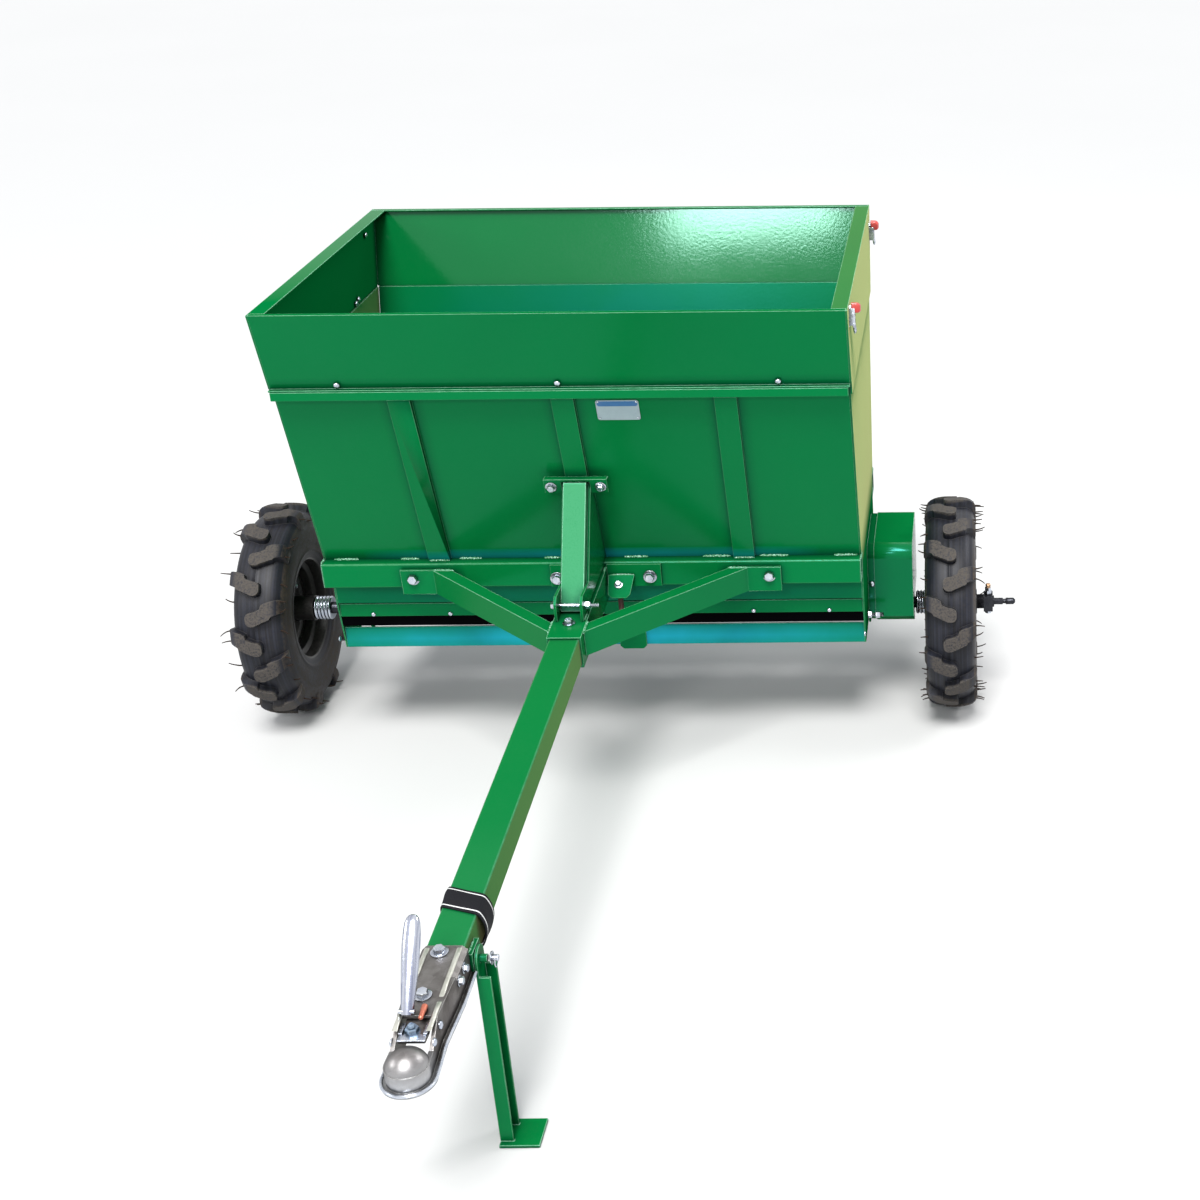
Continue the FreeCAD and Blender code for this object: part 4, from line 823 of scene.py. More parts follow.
def buildRim(name, node, body, sign):
    # half the barrel's section from the rim's edge in, then the dished disc
    half = [(0.1135, 0.0436), (0.1141, 0.0424), (0.1136, 0.0412), (0.1105, 0.0402), (0.1065, 0.0396),
            (0.1040, 0.0380), (0.1030, 0.0350), (0.1026, 0.0250), (0.1020, 0.0182), (0.1002, 0.0160),
            (0.0945, 0.0142), (0.0925, 0.0125), (0.0918, 0.0090)]
    disc = [(0.0900, 0.0030), (0.0862, 0.0020), (0.0780, 0.0020), (0.0745, 0.0045), (0.0700, rim["seat"]),
            (0.0420, rim["seat"]), (0.0385, 0.0050), (0.0350, 0.0020), (0.0255, 0.0020)]
    shape = bmesh.new()
    barrel = half + [(r, -h) for r, h in reversed(half)]
    addTurned(shape, thickened(barrel, -rim["sheet"]), 96, acrossWheel)
    addTurned(shape, thickened([(r, h * sign) for r, h in disc], -rim["sheet"] * sign), 96, acrossWheel)
    hub, bore, end = rim["hub"], rim["bore"], rim["hubHalf"]
    hubLoop = [(bore, -end), (hub - 0.001, -end), (hub, -end + 0.001), (hub, end - 0.001),
               (hub - 0.001, end), (bore, end)]
    addTurned(shape, hubLoop, 48, acrossWheel)
    for face in (1, -1):
        for run in range(rim["weldRuns"]):
            addHubWeld(shape, rim["weldX"] * face, face, 2 * math.pi * run / rim["weldRuns"])
    piece = newObject(name, shape, body, "black", place=middle(node))
    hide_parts(node)


def addHubWeld(shape, x, face, start):
    # nine short beads round the hub, most of a quarter turn
    hub = rim["hub"]
    arc = [start + 2 * math.pi * k / 40 for k in range(10)]
    for t, u in zip(arc, arc[1:]):
        addBead(shape, (x, hub * math.sin(t), hub * math.cos(t)), (x, hub * math.sin(u), hub * math.cos(u)),
                (face, math.sin(t), math.cos(t)), rim["weld"])


def buildRimFixings(name, node, body, sign):
    # wheel bolts with their nuts, and the valve through the disc
    shape = bmesh.new()
    for n in range(rim["bolts"]):
        t = math.pi / 4 + math.pi / 2 * n
        spot = Vector((rim["seat"] * sign, rim["boltCircle"] * math.sin(t), rim["boltCircle"] * math.cos(t)))
        addBolt(shape, spot, (sign, 0, 0), *rim["bolt"], 0.2 + n)
        spot.x = (rim["seat"] - rim["sheet"]) * sign
        addBolt(shape, spot, (-sign, 0, 0), *rim["bolt"], 0.5 + n, 0.011)
    stem = Vector((0.0140 * sign, 0.0, -0.0905))
    lean = Vector((sign, 0, 0.25)).normalized()
    addTube(shape, [stem + lean * d for d in (0.0, 0.004, 0.012, 0.017, 0.0172, 0.024, 0.0245)],
            [0.0042, 0.0040, 0.0034, 0.0030, 0.0038, 0.0038, 0.0024], 14)
    newObject(name, shape, body, "zinc", place=middle(node))


for sideName, body, sign in wheels:
    name, node = "rim" + sideName.capitalize(), "rim_" + sideName
    buildRim(name, node, body, sign)
    buildRimFixings(name + "Fixings", node, body, sign)
print("rims ready")

# fastenings of the hopper, beams and lips
beamLow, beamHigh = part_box("beam_front")
beamFace, beamTop = beamLow.y - zero.y, beamHigh.z
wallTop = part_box("hopper_wall_front")[1].z
footHalf, topHalf = 0.222, 0.338
wallSlope = (topHalf - footHalf) / (wallTop - beamTop)


def wallDepth(z):
    # distance of the wall's outer face from the axle line, at a height
    return footHalf + (z - beamTop) * wallSlope


wallOut = Vector((0, -1, -wallSlope)).normalized()
hopperBolts = {"flangeX": (-0.397, -0.003, 0.392), "flangeZ": 0.8225, "flangeY": 0.3495,
               "flangeSize": 0.0058, "tilt": -0.29, "nut": (0.010, 0.005), "lipZ": 0.2945, "lipY": 0.1925,
               "lipX": (-0.452, -0.300, -0.150, 0.0, 0.150, 0.300, 0.450), "lipSize": 0.0042}


def buildHopperBolts():
    shape = bmesh.new()
    tilt = Vector((0, -1, hopperBolts["tilt"])).normalized()
    y, z = hopperBolts["flangeY"], hopperBolts["flangeZ"]
    for side in (1, -1):
        for x in hopperBolts["flangeX"]:
            addDome(shape, at(x, -y * side, z), (0, tilt.y * side, tilt.z), hopperBolts["flangeSize"], 0.55)
            if side > 0:   # nuts inside the front board
                inner, inward = at(x, -(y - 0.0045), z + 0.001), (0, -tilt.y, -tilt.z)
                addHex(shape, *hopperBolts["nut"], frameOf(inner, inward, 0.4))
                addThread(shape, inner, inward, 0.0058, 0.009)
        for x in hopperBolts["lipX"]:
            spot = at(x, -hopperBolts["lipY"] * side, hopperBolts["lipZ"])
            addDome(shape, spot, (0, -side, 0), hopperBolts["lipSize"], 0.6)
    newObject("hopperBolts", shape, "frame", "zinc")


frontBolts = {"seat": 0.0063, "pads": 0.343, "padZ": 0.400, "padBolt": (0.017, 0.0135),
              "plates": ((0.113, 0.399), (-0.066, 0.397)), "plateBolt": (0.016, 0.013),
              "bracketX": 0.046, "bracketZ": 0.606, "bracketSeat": 0.027, "bracketBolt": (0.013, 0.0105)}


def buildFrontBolts():
    shape = bmesh.new()
    face, z = beamFace - frontBolts["seat"], frontBolts["padZ"]
    for x in (-frontBolts["pads"], frontBolts["pads"]):
        addBolt(shape, at(x, face, z), (0, -1, 0), *frontBolts["padBolt"], 0.3 + x)
        addHex(shape, 0.017, 0.009, frameOf(at(x, beamFace + 0.0503, z), (0, 1, 0), 0.2))
        addThread(shape, at(x, beamFace + 0.058, z), (0, 1, 0), 0.010, 0.010)
    for x, z in frontBolts["plates"]:
        addBolt(shape, at(x, face, z), (0, -1, 0), *frontBolts["plateBolt"], 0.2 + x * 9)
    z = frontBolts["bracketZ"]
    y = -wallDepth(z) - frontBolts["bracketSeat"]
    for x in (-frontBolts["bracketX"], frontBolts["bracketX"]):
        addBolt(shape, at(x, y, z) + wallOut * 0.0002, wallOut, *frontBolts["bracketBolt"], x * 20)
    newObject("frontBolts", shape, "frame", "zinc")


buildHopperBolts()
buildFrontBolts()

# drawbar group: everything on its sloping line
tubeSize = 0.054
slope = math.atan2(span("drawbar_tube").z - tubeSize, span("drawbar_tube").y - tubeSize * 0.054)
hitchRoot = Vector((zero.x, beamLow.y, beamTop - 0.039))
along = Vector((0, math.cos(slope), math.sin(slope)))
upward = Vector((0, -math.sin(slope), math.cos(slope)))
hitchTurn = Matrix(((1, 0, 0), (0, along.y, upward.y), (0, along.z, upward.z))).to_4x4()


def onHitch(x, y, z):
    # x across, y back along the drawbar from the beam's face, z off its centre line
    return hitchRoot + Vector((x, 0, 0)) + along * y + upward * z


hitch = {"top": 0.0318, "crossBolt": (-0.446, 0.430), "crossHalf": 0.0268, "bolt": (0.013, 0.0105),
         "sleeveBoltY": -0.226, "sleeveTop": 0.0311, "sleeveBolt": (0.013, 0.0115)}


def buildHitchBolts():
    # the bolt through the post's clevis, and the one that holds the drawbar in its sleeve
    shape = bmesh.new()
    cross, half = at(0, *hitch["crossBolt"]), Vector((hitch["crossHalf"], 0, 0))
    addBolt(shape, cross - half, (-1, 0, 0), *hitch["bolt"], 0.1)
    addHex(shape, 0.013, 0.010, frameOf(cross + half, (1, 0, 0), 0.3))
    addThread(shape, cross + Vector((0.034, 0, 0)), (1, 0, 0), 0.0078, 0.018)
    addTube(shape, [cross + Vector((x, 0, 0)) for x in (-0.027, 0.027)], [0.0039, 0.0039], 14)
    spot = onHitch(0, hitch["sleeveBoltY"], hitch["sleeveTop"])
    addBolt(shape, spot, upward, *hitch["sleeveBolt"], 0.25)
    newObject("hitchBolts", shape, "frame", "zinc")


buildHitchBolts()

coupler = {"topBolts": ((-0.003, -1.168), (-0.003, -1.259)), "topBolt": (0.014, 0.0125),
           "flankBolts": (-1.183, -1.210), "flankBoltZ": 0.016, "flankX": 0.0320,
           "flankBolt": (0.010, 0.0085),
           "rivets": ((-1.298, 0.014), (-1.331, 0.013)), "rivetX": 0.0275, "rivetSize": 0.0062,
           "rib": 0.0225, "ribs": ((-1.158, -1.262), (-1.272, -1.330)), "ribSize": (0.0074, 0.0030),
           "tongue": (-1.318, 0.0170), "clamp": (-0.002, -1.3215),
           "tip": ((0.0072, -1.284), (0.0076, -1.311)),
           "ball": -1.367, "nose": 0.0358, "rimHalf": 0.0025, "rimZ": -0.0150}


def addRib(shape, start, end, width, height):
    # a pressed rib, half round, fading into the plate at both ends
    rings = []
    for n in range(13):
        share = n / 12
        swell = min(1.0, 0.15 + 4 * share, 0.15 + 4 * (1 - share))
        x, y, z = Vector(start).lerp(Vector(end), share)
        rings.append([onHitch(x + width / 2 * math.cos(a), y, z + height * swell * math.sin(a) - 0.0004)
                      for a in (math.pi * k / 8 for k in range(9))])
    addLoft(shape, rings)


def buildCouplerFittings():
    shape, top = bmesh.new(), hitch["top"]
    for number, (x, y) in enumerate(coupler["topBolts"]):
        addBolt(shape, onHitch(x, y, top), upward, *coupler["topBolt"], 0.2 + number * 0.4)
    for y, z in coupler["rivets"]:
        for sign in (1, -1):
            addDome(shape, onHitch(sign * coupler["rivetX"], y, z), (sign, 0, 0), coupler["rivetSize"], 0.6)
    x, z = coupler["flankX"], coupler["flankBoltZ"]
    for y in coupler["flankBolts"]:
        addBolt(shape, onHitch(x, y, z), (1, 0, 0), *coupler["flankBolt"], 0.4)
        addHex(shape, 0.010, 0.006, frameOf(onHitch(-x, y, z), (-1, 0, 0), 0.1))
    newObject("couplerBolts", shape, "frame", "zinc")


def buildCouplerRibs():
    shape, top = bmesh.new(), hitch["top"]
    for x in (coupler["rib"], -coupler["rib"]):
        for y0, y1 in coupler["ribs"]:
            addRib(shape, (x, y0, top), (x, y1, top), *coupler["ribSize"])
    newObject("couplerRibs", shape, "frame", "rib")


def buildCouplerRim():
    # the lip's rolled edge, from one side of the tail round the nose to the other
    radius = coupler["nose"]
    side = [(0.0376, 0.2130), (0.0376, 0.1800), (0.0376, 0.1460), (0.0328, 0.0670), (0.0345, 0.0330),
            (radius, 0.0040)]
    nose = [(radius * math.cos(a), -radius * math.sin(a)) for a in (math.pi * k / 20 for k in range(1, 20))]
    edge = side + nose + [(-x, y) for x, y in reversed(side)]
    shape = bmesh.new()
    points = smoothLine([onHitch(x, coupler["ball"] + y, coupler["rimZ"]) for x, y in edge], 3)
    addTube(shape, points, [coupler["rimHalf"]] * len(points), 8)
    newObject("couplerRim", shape, "frame", "zinc")


def buildTongue():
    # the tongue between the cheeks, turned up at its tail, and the lip that meets the ball's cover
    base = Matrix.Translation(onHitch(0, *coupler["tongue"])) @ hitchTurn
    outline = [(-0.0185, -0.0200), (0.0185, -0.0200), (0.0195, 0.0), (0.0150, 0.0230), (0.0110, 0.0330),
               (-0.0110, 0.0330), (-0.0150, 0.0230), (-0.0195, 0.0)]
    tongue = bmesh.new()
    addLoft(tongue, [[base @ Vector((x, y, z + max(0.0, y - 0.012) * 0.35)) for x, y in outline]
                     for z in (0.0, 0.0036)])
    newObject("couplerTongue", tongue, "frame", "pressing", 0.0008)
    lip = bmesh.new()
    edge = [(-0.0185, -0.0215), (0.0185, -0.0215), (0.0185, -0.0110), (0.0105, -0.0072), (-0.0105, -0.0072),
            (-0.0185, -0.0110)]
    addPlate(lip, base, edge, 0.0036, 0.0062)
    for x in (-0.0165, 0.0165):
        addBlock(lip, base, x - 0.0028, x + 0.0028, -0.0100, 0.0120, 0.0034, 0.0088)
    newObject("couplerLip", lip, "frame", "zinc", 0.0010)


def buildClamp():
    # the clamp screw with its washer and nut, and the coloured tip of the safety catch
    clamp = bmesh.new()
    x, y = coupler["clamp"]
    spot = onHitch(x, y, 0.0206)
    washer = [(0.0108, 0.0), (0.0110, 0.0006), (0.0110, 0.0020), (0.0095, 0.0024)]
    addSpun(clamp, washer, 28, frameOf(spot, upward))
    addHex(clamp, 0.0160, 0.0085, frameOf(spot, upward, 0.35), 0.0022)
    addThread(clamp, onHitch(x, y, 0.0300), upward, 0.0085, 0.0060)
    newObject("couplerClamp", clamp, "frame", "blued")
    tip = bmesh.new()
    (x0, y0), (x1, y1) = coupler["tip"]
    points = [onHitch(x0 + (x1 - x0) * t, y0 + (y1 - y0) * t, hitch["top"] + 0.0040)
              for t in (0.0, 0.06, 0.45, 0.5, 0.94, 1.0)]
    addTube(tip, points, [0.0030, 0.0044, 0.0042, 0.0034, 0.0034, 0.0020], 16)
    newObject("safetyTip", tip, "frame", "tip")


# stations of the lever: height, half width and depth
lever = {"x": -0.013, "y": -1.299, "lean": 41,
         "stations": ((0.0, 0.0082, 0.0080), (0.006, 0.0086, 0.0088), (0.022, 0.0093, 0.0100),
                      (0.045, 0.0106, 0.0110), (0.070, 0.0118, 0.0115), (0.092, 0.0121, 0.0114),
                      (0.110, 0.0115, 0.0104), (0.121, 0.0102, 0.0090), (0.1275, 0.0080, 0.0070),
                      (0.1308, 0.0052, 0.0048), (0.1320, 0.0022, 0.0024))}


def buildLever():
    # pressed lever leaning back from the coupler's edge, round backed and widest past its middle
    lean = math.radians(lever["lean"])
    foot = onHitch(lever["x"], lever["y"], hitch["top"] + 0.0003)
    rise = along * math.sin(lean) + upward * math.cos(lean)
    back = along * math.cos(lean) - upward * math.sin(lean)
    shape = bmesh.new()
    rings = []
    for height, half, deep in lever["stations"]:
        turns = [math.pi * k / 18 for k in range(19)]
        outer = [(half * math.cos(t), -deep * math.sin(t) ** 0.62) for t in turns]
        inner = [(x * 0.82, v * 0.76) for x, v in reversed(outer)]
        rings.append([foot + Vector((x, 0, 0)) + rise * height + back * v for x, v in outer + inner])
    addLoft(shape, rings)
    piece = newObject("couplerLever", shape, "frame", "lever", 0, 2, 50)
    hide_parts("coupler_handle")
    pivot = bmesh.new()
    centre = foot + rise * 0.0045 - back * 0.0045
    addTube(pivot, [centre + Vector((x, 0, 0)) for x in (-0.0112, -0.0106, 0.0106, 0.0112)],
            [0.0020, 0.0032, 0.0032, 0.0020], 16)
    newObject("leverPivot", pivot, "frame", "zinc")


buildCouplerFittings()
buildCouplerRibs()
buildCouplerRim()
buildTongue()
buildClamp()
buildLever()
print("coupler ready")


def strapLine(half):
    # once round the tube with soft corners, and on over the first side for the lap
    loop, radius, corners = [(-half, -half), (-half, half), (half, half), (half, -half)], 0.006, []
    for n, (x, z) in enumerate(loop):
        before, after = Vector(loop[n - 1]), Vector(loop[(n + 1) % 4])
        here = Vector((x, z))
        a, b = here + (before - here).normalized() * radius, here + (after - here).normalized() * radius
        corners += [a, (a + b) / 2 * 0.45 + here * 0.55, b, (b + after) / 2]
    return smoothLine([Vector((p.x, 0, p.y)) for p in corners + corners[:4]], 5)


def buildStrap():
    # one turn of webbing round the tube, its tail lapped over at the side, slightly puffed and askew
    half = tubeSize / 2 + strap["slack"] * 0.5
    y = (middle("tie_strap").y - hitchRoot.y) / math.cos(slope) - strap["forward"]
    points, across, width = strapLine(half), 9, strap["width"]
    shape = bmesh.new()
    uv = shape.loops.layers.uv.new("UVMap")
    grid, length, total = [], 0.0, len(points)
    for n, point in enumerate(points):
        if n:
            length += (point - points[n - 1]).length
        lap = strap["lap"] * max(0.0, (n - total * 0.86) / (total * 0.14))
        out = Vector((point.x, 0, point.z)).normalized()
        skew = -strap["skew"] * point.x / half + 0.002 * math.sin(length * 21)
        if point.x > half * 0.7:
            point = point + Vector((strap["bulge"] * max(0.0, 1 - (point.z / half) ** 2), 0, 0))
        row = []
        for k in range(across):
            v = (k / (across - 1) - 0.5) * width
            puff = 0.0007 * math.sin(length * 55 + k * 0.8) + 0.0008 * (1 - (2 * v / width) ** 2)
            place = point + out * (lap + puff)
            place.z = max(place.z, -strap["low"])
            row.append((shape.verts.new(onHitch(place.x, y + v + skew, place.z)), length, v))
        grid.append(row)
    for near, far in zip(grid, grid[1:]):
        for k in range(across - 1):
            corners = (near[k], near[k + 1], far[k + 1], far[k])
            face = shape.faces.new([vert for vert, _, _ in corners])
            for loopCorner, (_, u, v) in zip(face.loops, corners):
                loopCorner[uv].uv = (u, v)
    piece = newObject("tieStrap", shape, "frame", "webbing")
    thick = piece.modifiers.new("thickness", "SOLIDIFY")
    thick.thickness, thick.offset = strap["thick"], 0.0
    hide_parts("tie_strap")


buildStrap()
print("strap ready")

# toggle latches on the right end board, for a cover, and the rivets on the left one
latches = {"spots": ((-0.340, 0.933), (0.352, 0.910)), "face": 0.5215, "lean": 14, "sheet": 0.0055,
           "leftBolts": ((0.299, 0.931), (0.196, 0.824), (0.178, 0.820)), "domeSize": 0.0060}


def addLatch(body, caps, y, z):
    # a bent base plate with two cheeks, the claw on its two pins, and the coloured grip
    face, right = latches["face"], (1, 0, 0)
    lean = math.radians(-latches["lean"] if y < 0 else latches["lean"])
    turn = Matrix.Translation(at(face, y, z)) @ Matrix.Rotation(lean, 4, "X")
    addBlock(body, turn, 0.0, 0.0018, -0.0085, 0.0085, -0.013, 0.026)
    for edge in (-0.0085, 0.0067):
        addBlock(body, turn, 0.0, 0.0120, edge, edge + 0.0018, -0.010, 0.020)
    addBlock(body, turn, 0.0085, 0.0108, -0.0064, 0.0064, -0.014, 0.012)
    addTube(body, [turn @ Vector((0.0085, v, 0.010)) for v in (-0.0105, 0.0105)], [0.0026] * 2, 12)
    addTube(body, [turn @ Vector((0.0100, v, -0.008)) for v in (-0.0095, 0.0095)], [0.0022] * 2, 12)
    hook = ((0.010, 0.0, -0.008), (0.0115, 0.0, -0.020), (0.0112, 0.0, -0.024))
    addTube(body, [turn @ Vector(p) for p in hook], [0.0030, 0.0030, 0.0018], 10)
    addHex(body, 0.010, 0.005, frameOf(turn @ Vector((0.0018, 0, 0.0205)), right, 0.3))
    inner, inward = at(face - latches["sheet"], y, z + 0.015), (-1, 0, 0)
    addHex(body, 0.010, 0.006, frameOf(inner, inward, 0.2))
    addThread(body, inner, inward, 0.006, 0.013)
    cap = [(0.0060, -0.0080), (0.0205, -0.0066), (0.0225, 0.0), (0.0205, 0.0066), (0.0060, 0.0080)]
    addLoft(caps, [[turn @ Vector((x * grow, v * grow, h)) for x, v in cap]
                   for h, grow in ((0.012, 0.85), (0.015, 1.0), (0.026, 1.0), (0.030, 0.8))])


def buildLatches():
    body, caps = bmesh.new(), bmesh.new()
    for y, z in latches["spots"]:
        addLatch(body, caps, y, z)
    for y, z in latches["leftBolts"]:
        addDome(body, at(-latches["face"] + latches["sheet"], y, z), (1, 0, 0), latches["domeSize"], 0.5)
        addDome(body, at(-latches["face"], y, z), (-1, 0, 0), latches["domeSize"], 0.5)
    newObject("coverLatches", body, "frame", "zinc", 0.0005)
    newObject("latchCaps", caps, "frame", "red", 0.0016, 3)


buildLatches()

# bare data plate on the front wall, with its coloured band and four rivets
dataPlate = {"x": (0.057, 0.135), "z": (0.742, 0.784), "thick": 0.0009, "band": 0.30, "corner": 0.003,
             "inset": 0.002, "rivetInset": 0.004, "rivetSize": 0.0019}


def buildPanel(name, x0, x1, z0, z1, lift, thick, material):
    # a thin leaf with cut corners, lying on the sloping wall
    c = dataPlate["corner"]
    outline = [(x0, z0 + c), (x0 + c, z0), (x1 - c, z0), (x1, z0 + c), (x1, z1 - c), (x1 - c, z1),
               (x0 + c, z1), (x0, z1 - c)]
    shape = bmesh.new()
    addLoft(shape, [[at(x, -wallDepth(z), z) + wallOut * d for x, z in outline]
                    for d in (lift, lift + thick)])
    newObject(name, shape, "frame", material, 0.0002)


def buildPlate():
    (x0, x1), (z0, z1), inset = dataPlate["x"], dataPlate["z"], dataPlate["inset"]
    buildPanel("dataPlate", x0, x1, z0, z1, 0.0001, dataPlate["thick"], "plate")
    split = z1 - (z1 - z0) * dataPlate["band"]
    buildPanel("dataPlateBand", x0 + inset, x1 - inset, split, z1 - inset, 0.0008, 0.0004, "band")
    shape, inset = bmesh.new(), dataPlate["rivetInset"]
    for x in (x0 + inset, x1 - inset):
        for z in (z0 + inset, z1 - inset):
            spot = at(x, -wallDepth(z), z) + wallOut * 0.0012
            addDome(shape, spot, wallOut, dataPlate["rivetSize"], 0.6)
    newObject("plateRivets", shape, "frame", "zinc")


buildPlate()
print("latches and plate ready")

# weld runs, painted over
welds = {"stitches": ((-0.500, -0.452), (-0.372, -0.335), (-0.258, -0.215), (-0.095, -0.063), (0.060, 0.108),
                      (0.212, 0.266), (0.322, 0.380), (0.466, 0.512)), "width": 0.0075,
         "endX": 0.5195, "stiffeners": (-0.294, 0.0, 0.294), "strutX": (0.262, 0.308), "thin": 0.0045,
         "middle": 0.006, "small": 0.005}


def addHopperWelds(shape, side):
    # the hopper's foot on the beam in stitches, the end plates on the beam's ends, the stiffeners' feet
    foot, width = wallDepth(beamTop) + 0.0015, welds["width"]
    for start, stop in welds["stitches"]:
        addBead(shape, at(start, -foot * side, beamTop + 0.0006), at(stop, -foot * side, beamTop + 0.0006),
                (0, -side, 1), width)
    x, z = welds["endX"], beamTop + 0.0004
    for sign in (1, -1):
        addBead(shape, at(sign * x, (beamFace + 0.004) * side, z), at(sign * x, (beamFace + 0.040) * side, z),
                (sign * -0.4, 0, 1), welds["small"])


def addStiffenerWelds(shape, x, side):
    y, z = -(wallDepth(beamTop) + 0.0105) * side, beamTop + 0.0008
    addBead(shape, at(x - 0.020, y, z), at(x + 0.020, y, z), (0, -side, 1), welds["middle"])


def addPostWelds(shape):
    # the post's head under the bracket
    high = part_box("brace_bracket")[1].z - 0.0055
    y = -wallDepth(high) - 0.0275 + 0.004
    addBead(shape, at(-0.020, y, high), at(0.020, y, high), (0, -1, 0.5), welds["middle"])


def addStrutWelds(shape, sign):
    # the bracket's gusset, the strut on the sleeve, and the strut on its pad
    face, z = beamFace, hitchRoot.z + 0.024
    near, far = welds["strutX"]
    gusset = -wallDepth(0.60)
    addBead(shape, at(sign * 0.0275, gusset - 0.0272, 0.612), at(sign * 0.0275, gusset - 0.024, 0.594),
            (sign, -1, 0), welds["thin"])
    addBead(shape, at(sign * 0.0320, face - 0.262, z - 0.010), at(sign * 0.0320, face - 0.215, z - 0.006),
            (sign * 0.6, -0.3, 1), welds["middle"])
    addBead(shape, at(sign * near, face - 0.0075, z + 0.004), at(sign * far, face - 0.0075, z + 0.004),
            (0, -1, 1), welds["middle"])


def addSleeveWelds(shape, sign):
    # the sleeve on the beam, and the drawbar in the sleeve's mouth
    addBead(shape, at(sign * 0.029, beamFace - 0.001, hitchRoot.z + 0.0315),
            at(sign * 0.029, beamFace - 0.03, hitchRoot.z + 0.0305), (sign, 0, 1), welds["small"])
    addBead(shape, onHitch(sign * 0.0268, -0.216, 0.0318), onHitch(sign * 0.0268, -0.185, 0.0318),
            (sign, 0, 1), welds["thin"])


def addTabWelds(shape):
    # the adjuster's tab on its plate, and the leg's bracket on the drawbar
    low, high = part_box("adjuster_tab")
    y, z = high.y - 0.001, high.z - 0.0015
    addBead(shape, (low.x + 0.002, y, z), (high.x - 0.002, y, z), (0, -0.6, 1), welds["middle"])
    low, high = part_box("leg_bracket")
    x = low.x + 0.001
    for z, lift in ((high.z - 0.0005, 1), (low.z + 0.0005, -1)):
        addBead(shape, (x, low.y + 0.004, z), (x, high.y - 0.004, z), (0.6, 0, lift), welds["small"])


def buildWelds():
    shape = bmesh.new()
    for side in (1, -1):
        addHopperWelds(shape, side)
    for x in welds["stiffeners"]:
        for side in (1, -1):
            if x != 0.0 or side < 0:   # the front wall's middle one ends at the bracket
                addStiffenerWelds(shape, x, side)
    addPostWelds(shape)
    for sign in (1, -1):
        addStrutWelds(shape, sign)
    for sign in (1, -1):
        addSleeveWelds(shape, sign)
    addTabWelds(shape)
    newObject("weldRuns", shape, "frame", "bead", 0, 2, 60)


buildWelds()
print("welds ready")

# fixings of the end plates, the chain case and the bearings, the wheel lock and the leg's pin
drive = {"screwX": 0.0085, "screwZ": 0.292, "screwSize": 0.0055, "caseBolt": (-0.100, 0.240),
         "plateBolt": (-0.209, 0.250), "bearingInset": 0.0085, "bearingBolt": (0.010, 0.0075)}


def addEndFixings(shape, endX, sign):
    # long bolts with lock nuts through the end plate, and a dome near each corner
    out, (y, z) = (sign, 0, 0), drive["caseBolt"]
    for spot in (at(endX * sign, y, z), at(endX * sign, -y, z)):
        addBolt(shape, spot, out, 0.013, 0.0105, 0.3)
        addHex(shape, 0.013, 0.009, frameOf(spot + Vector((0.016 * sign, 0, 0)), out, 0.6))
        addThread(shape, spot + Vector((0.006 * sign, 0, 0)), out, 0.0088, 0.026)
    y, z = drive["plateBolt"]
    for spot in (at(endX * sign, y, z), at(endX * sign, -y, z)):
        addDome(shape, spot, out, 0.0052, 0.5)


def addBearingBolts(shape, node):
    low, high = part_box(node)
    inset = drive["bearingInset"]
    for y in (low.y + inset, high.y - inset):
        for z in (low.z + inset, high.z - inset):
            addBolt(shape, Vector((low.x, y, z)), (-1, 0, 0), *drive["bearingBolt"], y * 40)


def buildSideFixings():
    shape = bmesh.new()
    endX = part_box("hopper_end_right")[1].x - zero.x
    caseLow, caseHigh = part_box("chain_case")
    for y, direction in ((caseLow.y, -1), (caseHigh.y, 1)):
        spot = Vector((zero.x + (endX + drive["screwX"]), y, drive["screwZ"]))
        addDome(shape, spot, (0, direction, 0), drive["screwSize"], 0.4)
    addEndFixings(shape, endX, 1)
    addEndFixings(shape, endX, -1)
    addBearingBolts(shape, "rotor_bearing_left")
    addBearingBolts(shape, "axle_bearing_left")
    newObject("sideFixings", shape, "frame", "zinc")


lock = {"back": 0.0095, "nutZ": 0.0172, "nut": (0.0135, 0.0090), "jamZ": 0.0262, "jamNut": (0.0120, 0.0060),
        "head": (0.0130, 0.0090), "studZ": 0.0300, "stud": 0.0108, "studTop": 0.0008}


def buildLockBolt():
    # nut and stud over the clamping block, and the bolt's head below it
    low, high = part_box("wheel_lock")
    x, y, z = high.x - lock["back"], middle("tyre_right").y, middle("tyre_right").z
    bolt, stud, upright = bmesh.new(), bmesh.new(), (0, 0, 1)
    addHex(bolt, *lock["nut"], frameOf(Vector((x, y, z + lock["nutZ"])), upright, 0.3))
    addHex(bolt, *lock["jamNut"], frameOf(Vector((x, y, z + lock["jamZ"])), upright, 0.7))
    addBolt(bolt, Vector((x, y, low.z)), (0, 0, -1), *lock["head"], 0.1)
    newObject("lockBolt", bolt, "drive_wheel", "zinc")
    length = high.z + lock["studTop"] - z - lock["studZ"]
    addThread(stud, Vector((x, y, z + lock["studZ"])), upright, lock["stud"], length)
    newObject("lockStud", stud, "drive_wheel", "brass")


legPin = {"out": 0.0046, "ringOut": 0.0065, "ringRadius": 0.0080, "ringDrop": 0.006, "wire": 0.0010,
          "head": ((0.0095, 0.0), (0.0100, 0.0008), (0.0100, 0.0020), (0.0050, 0.0022), (0.0050, 0.0100),
                   (0.0040, 0.0110))}


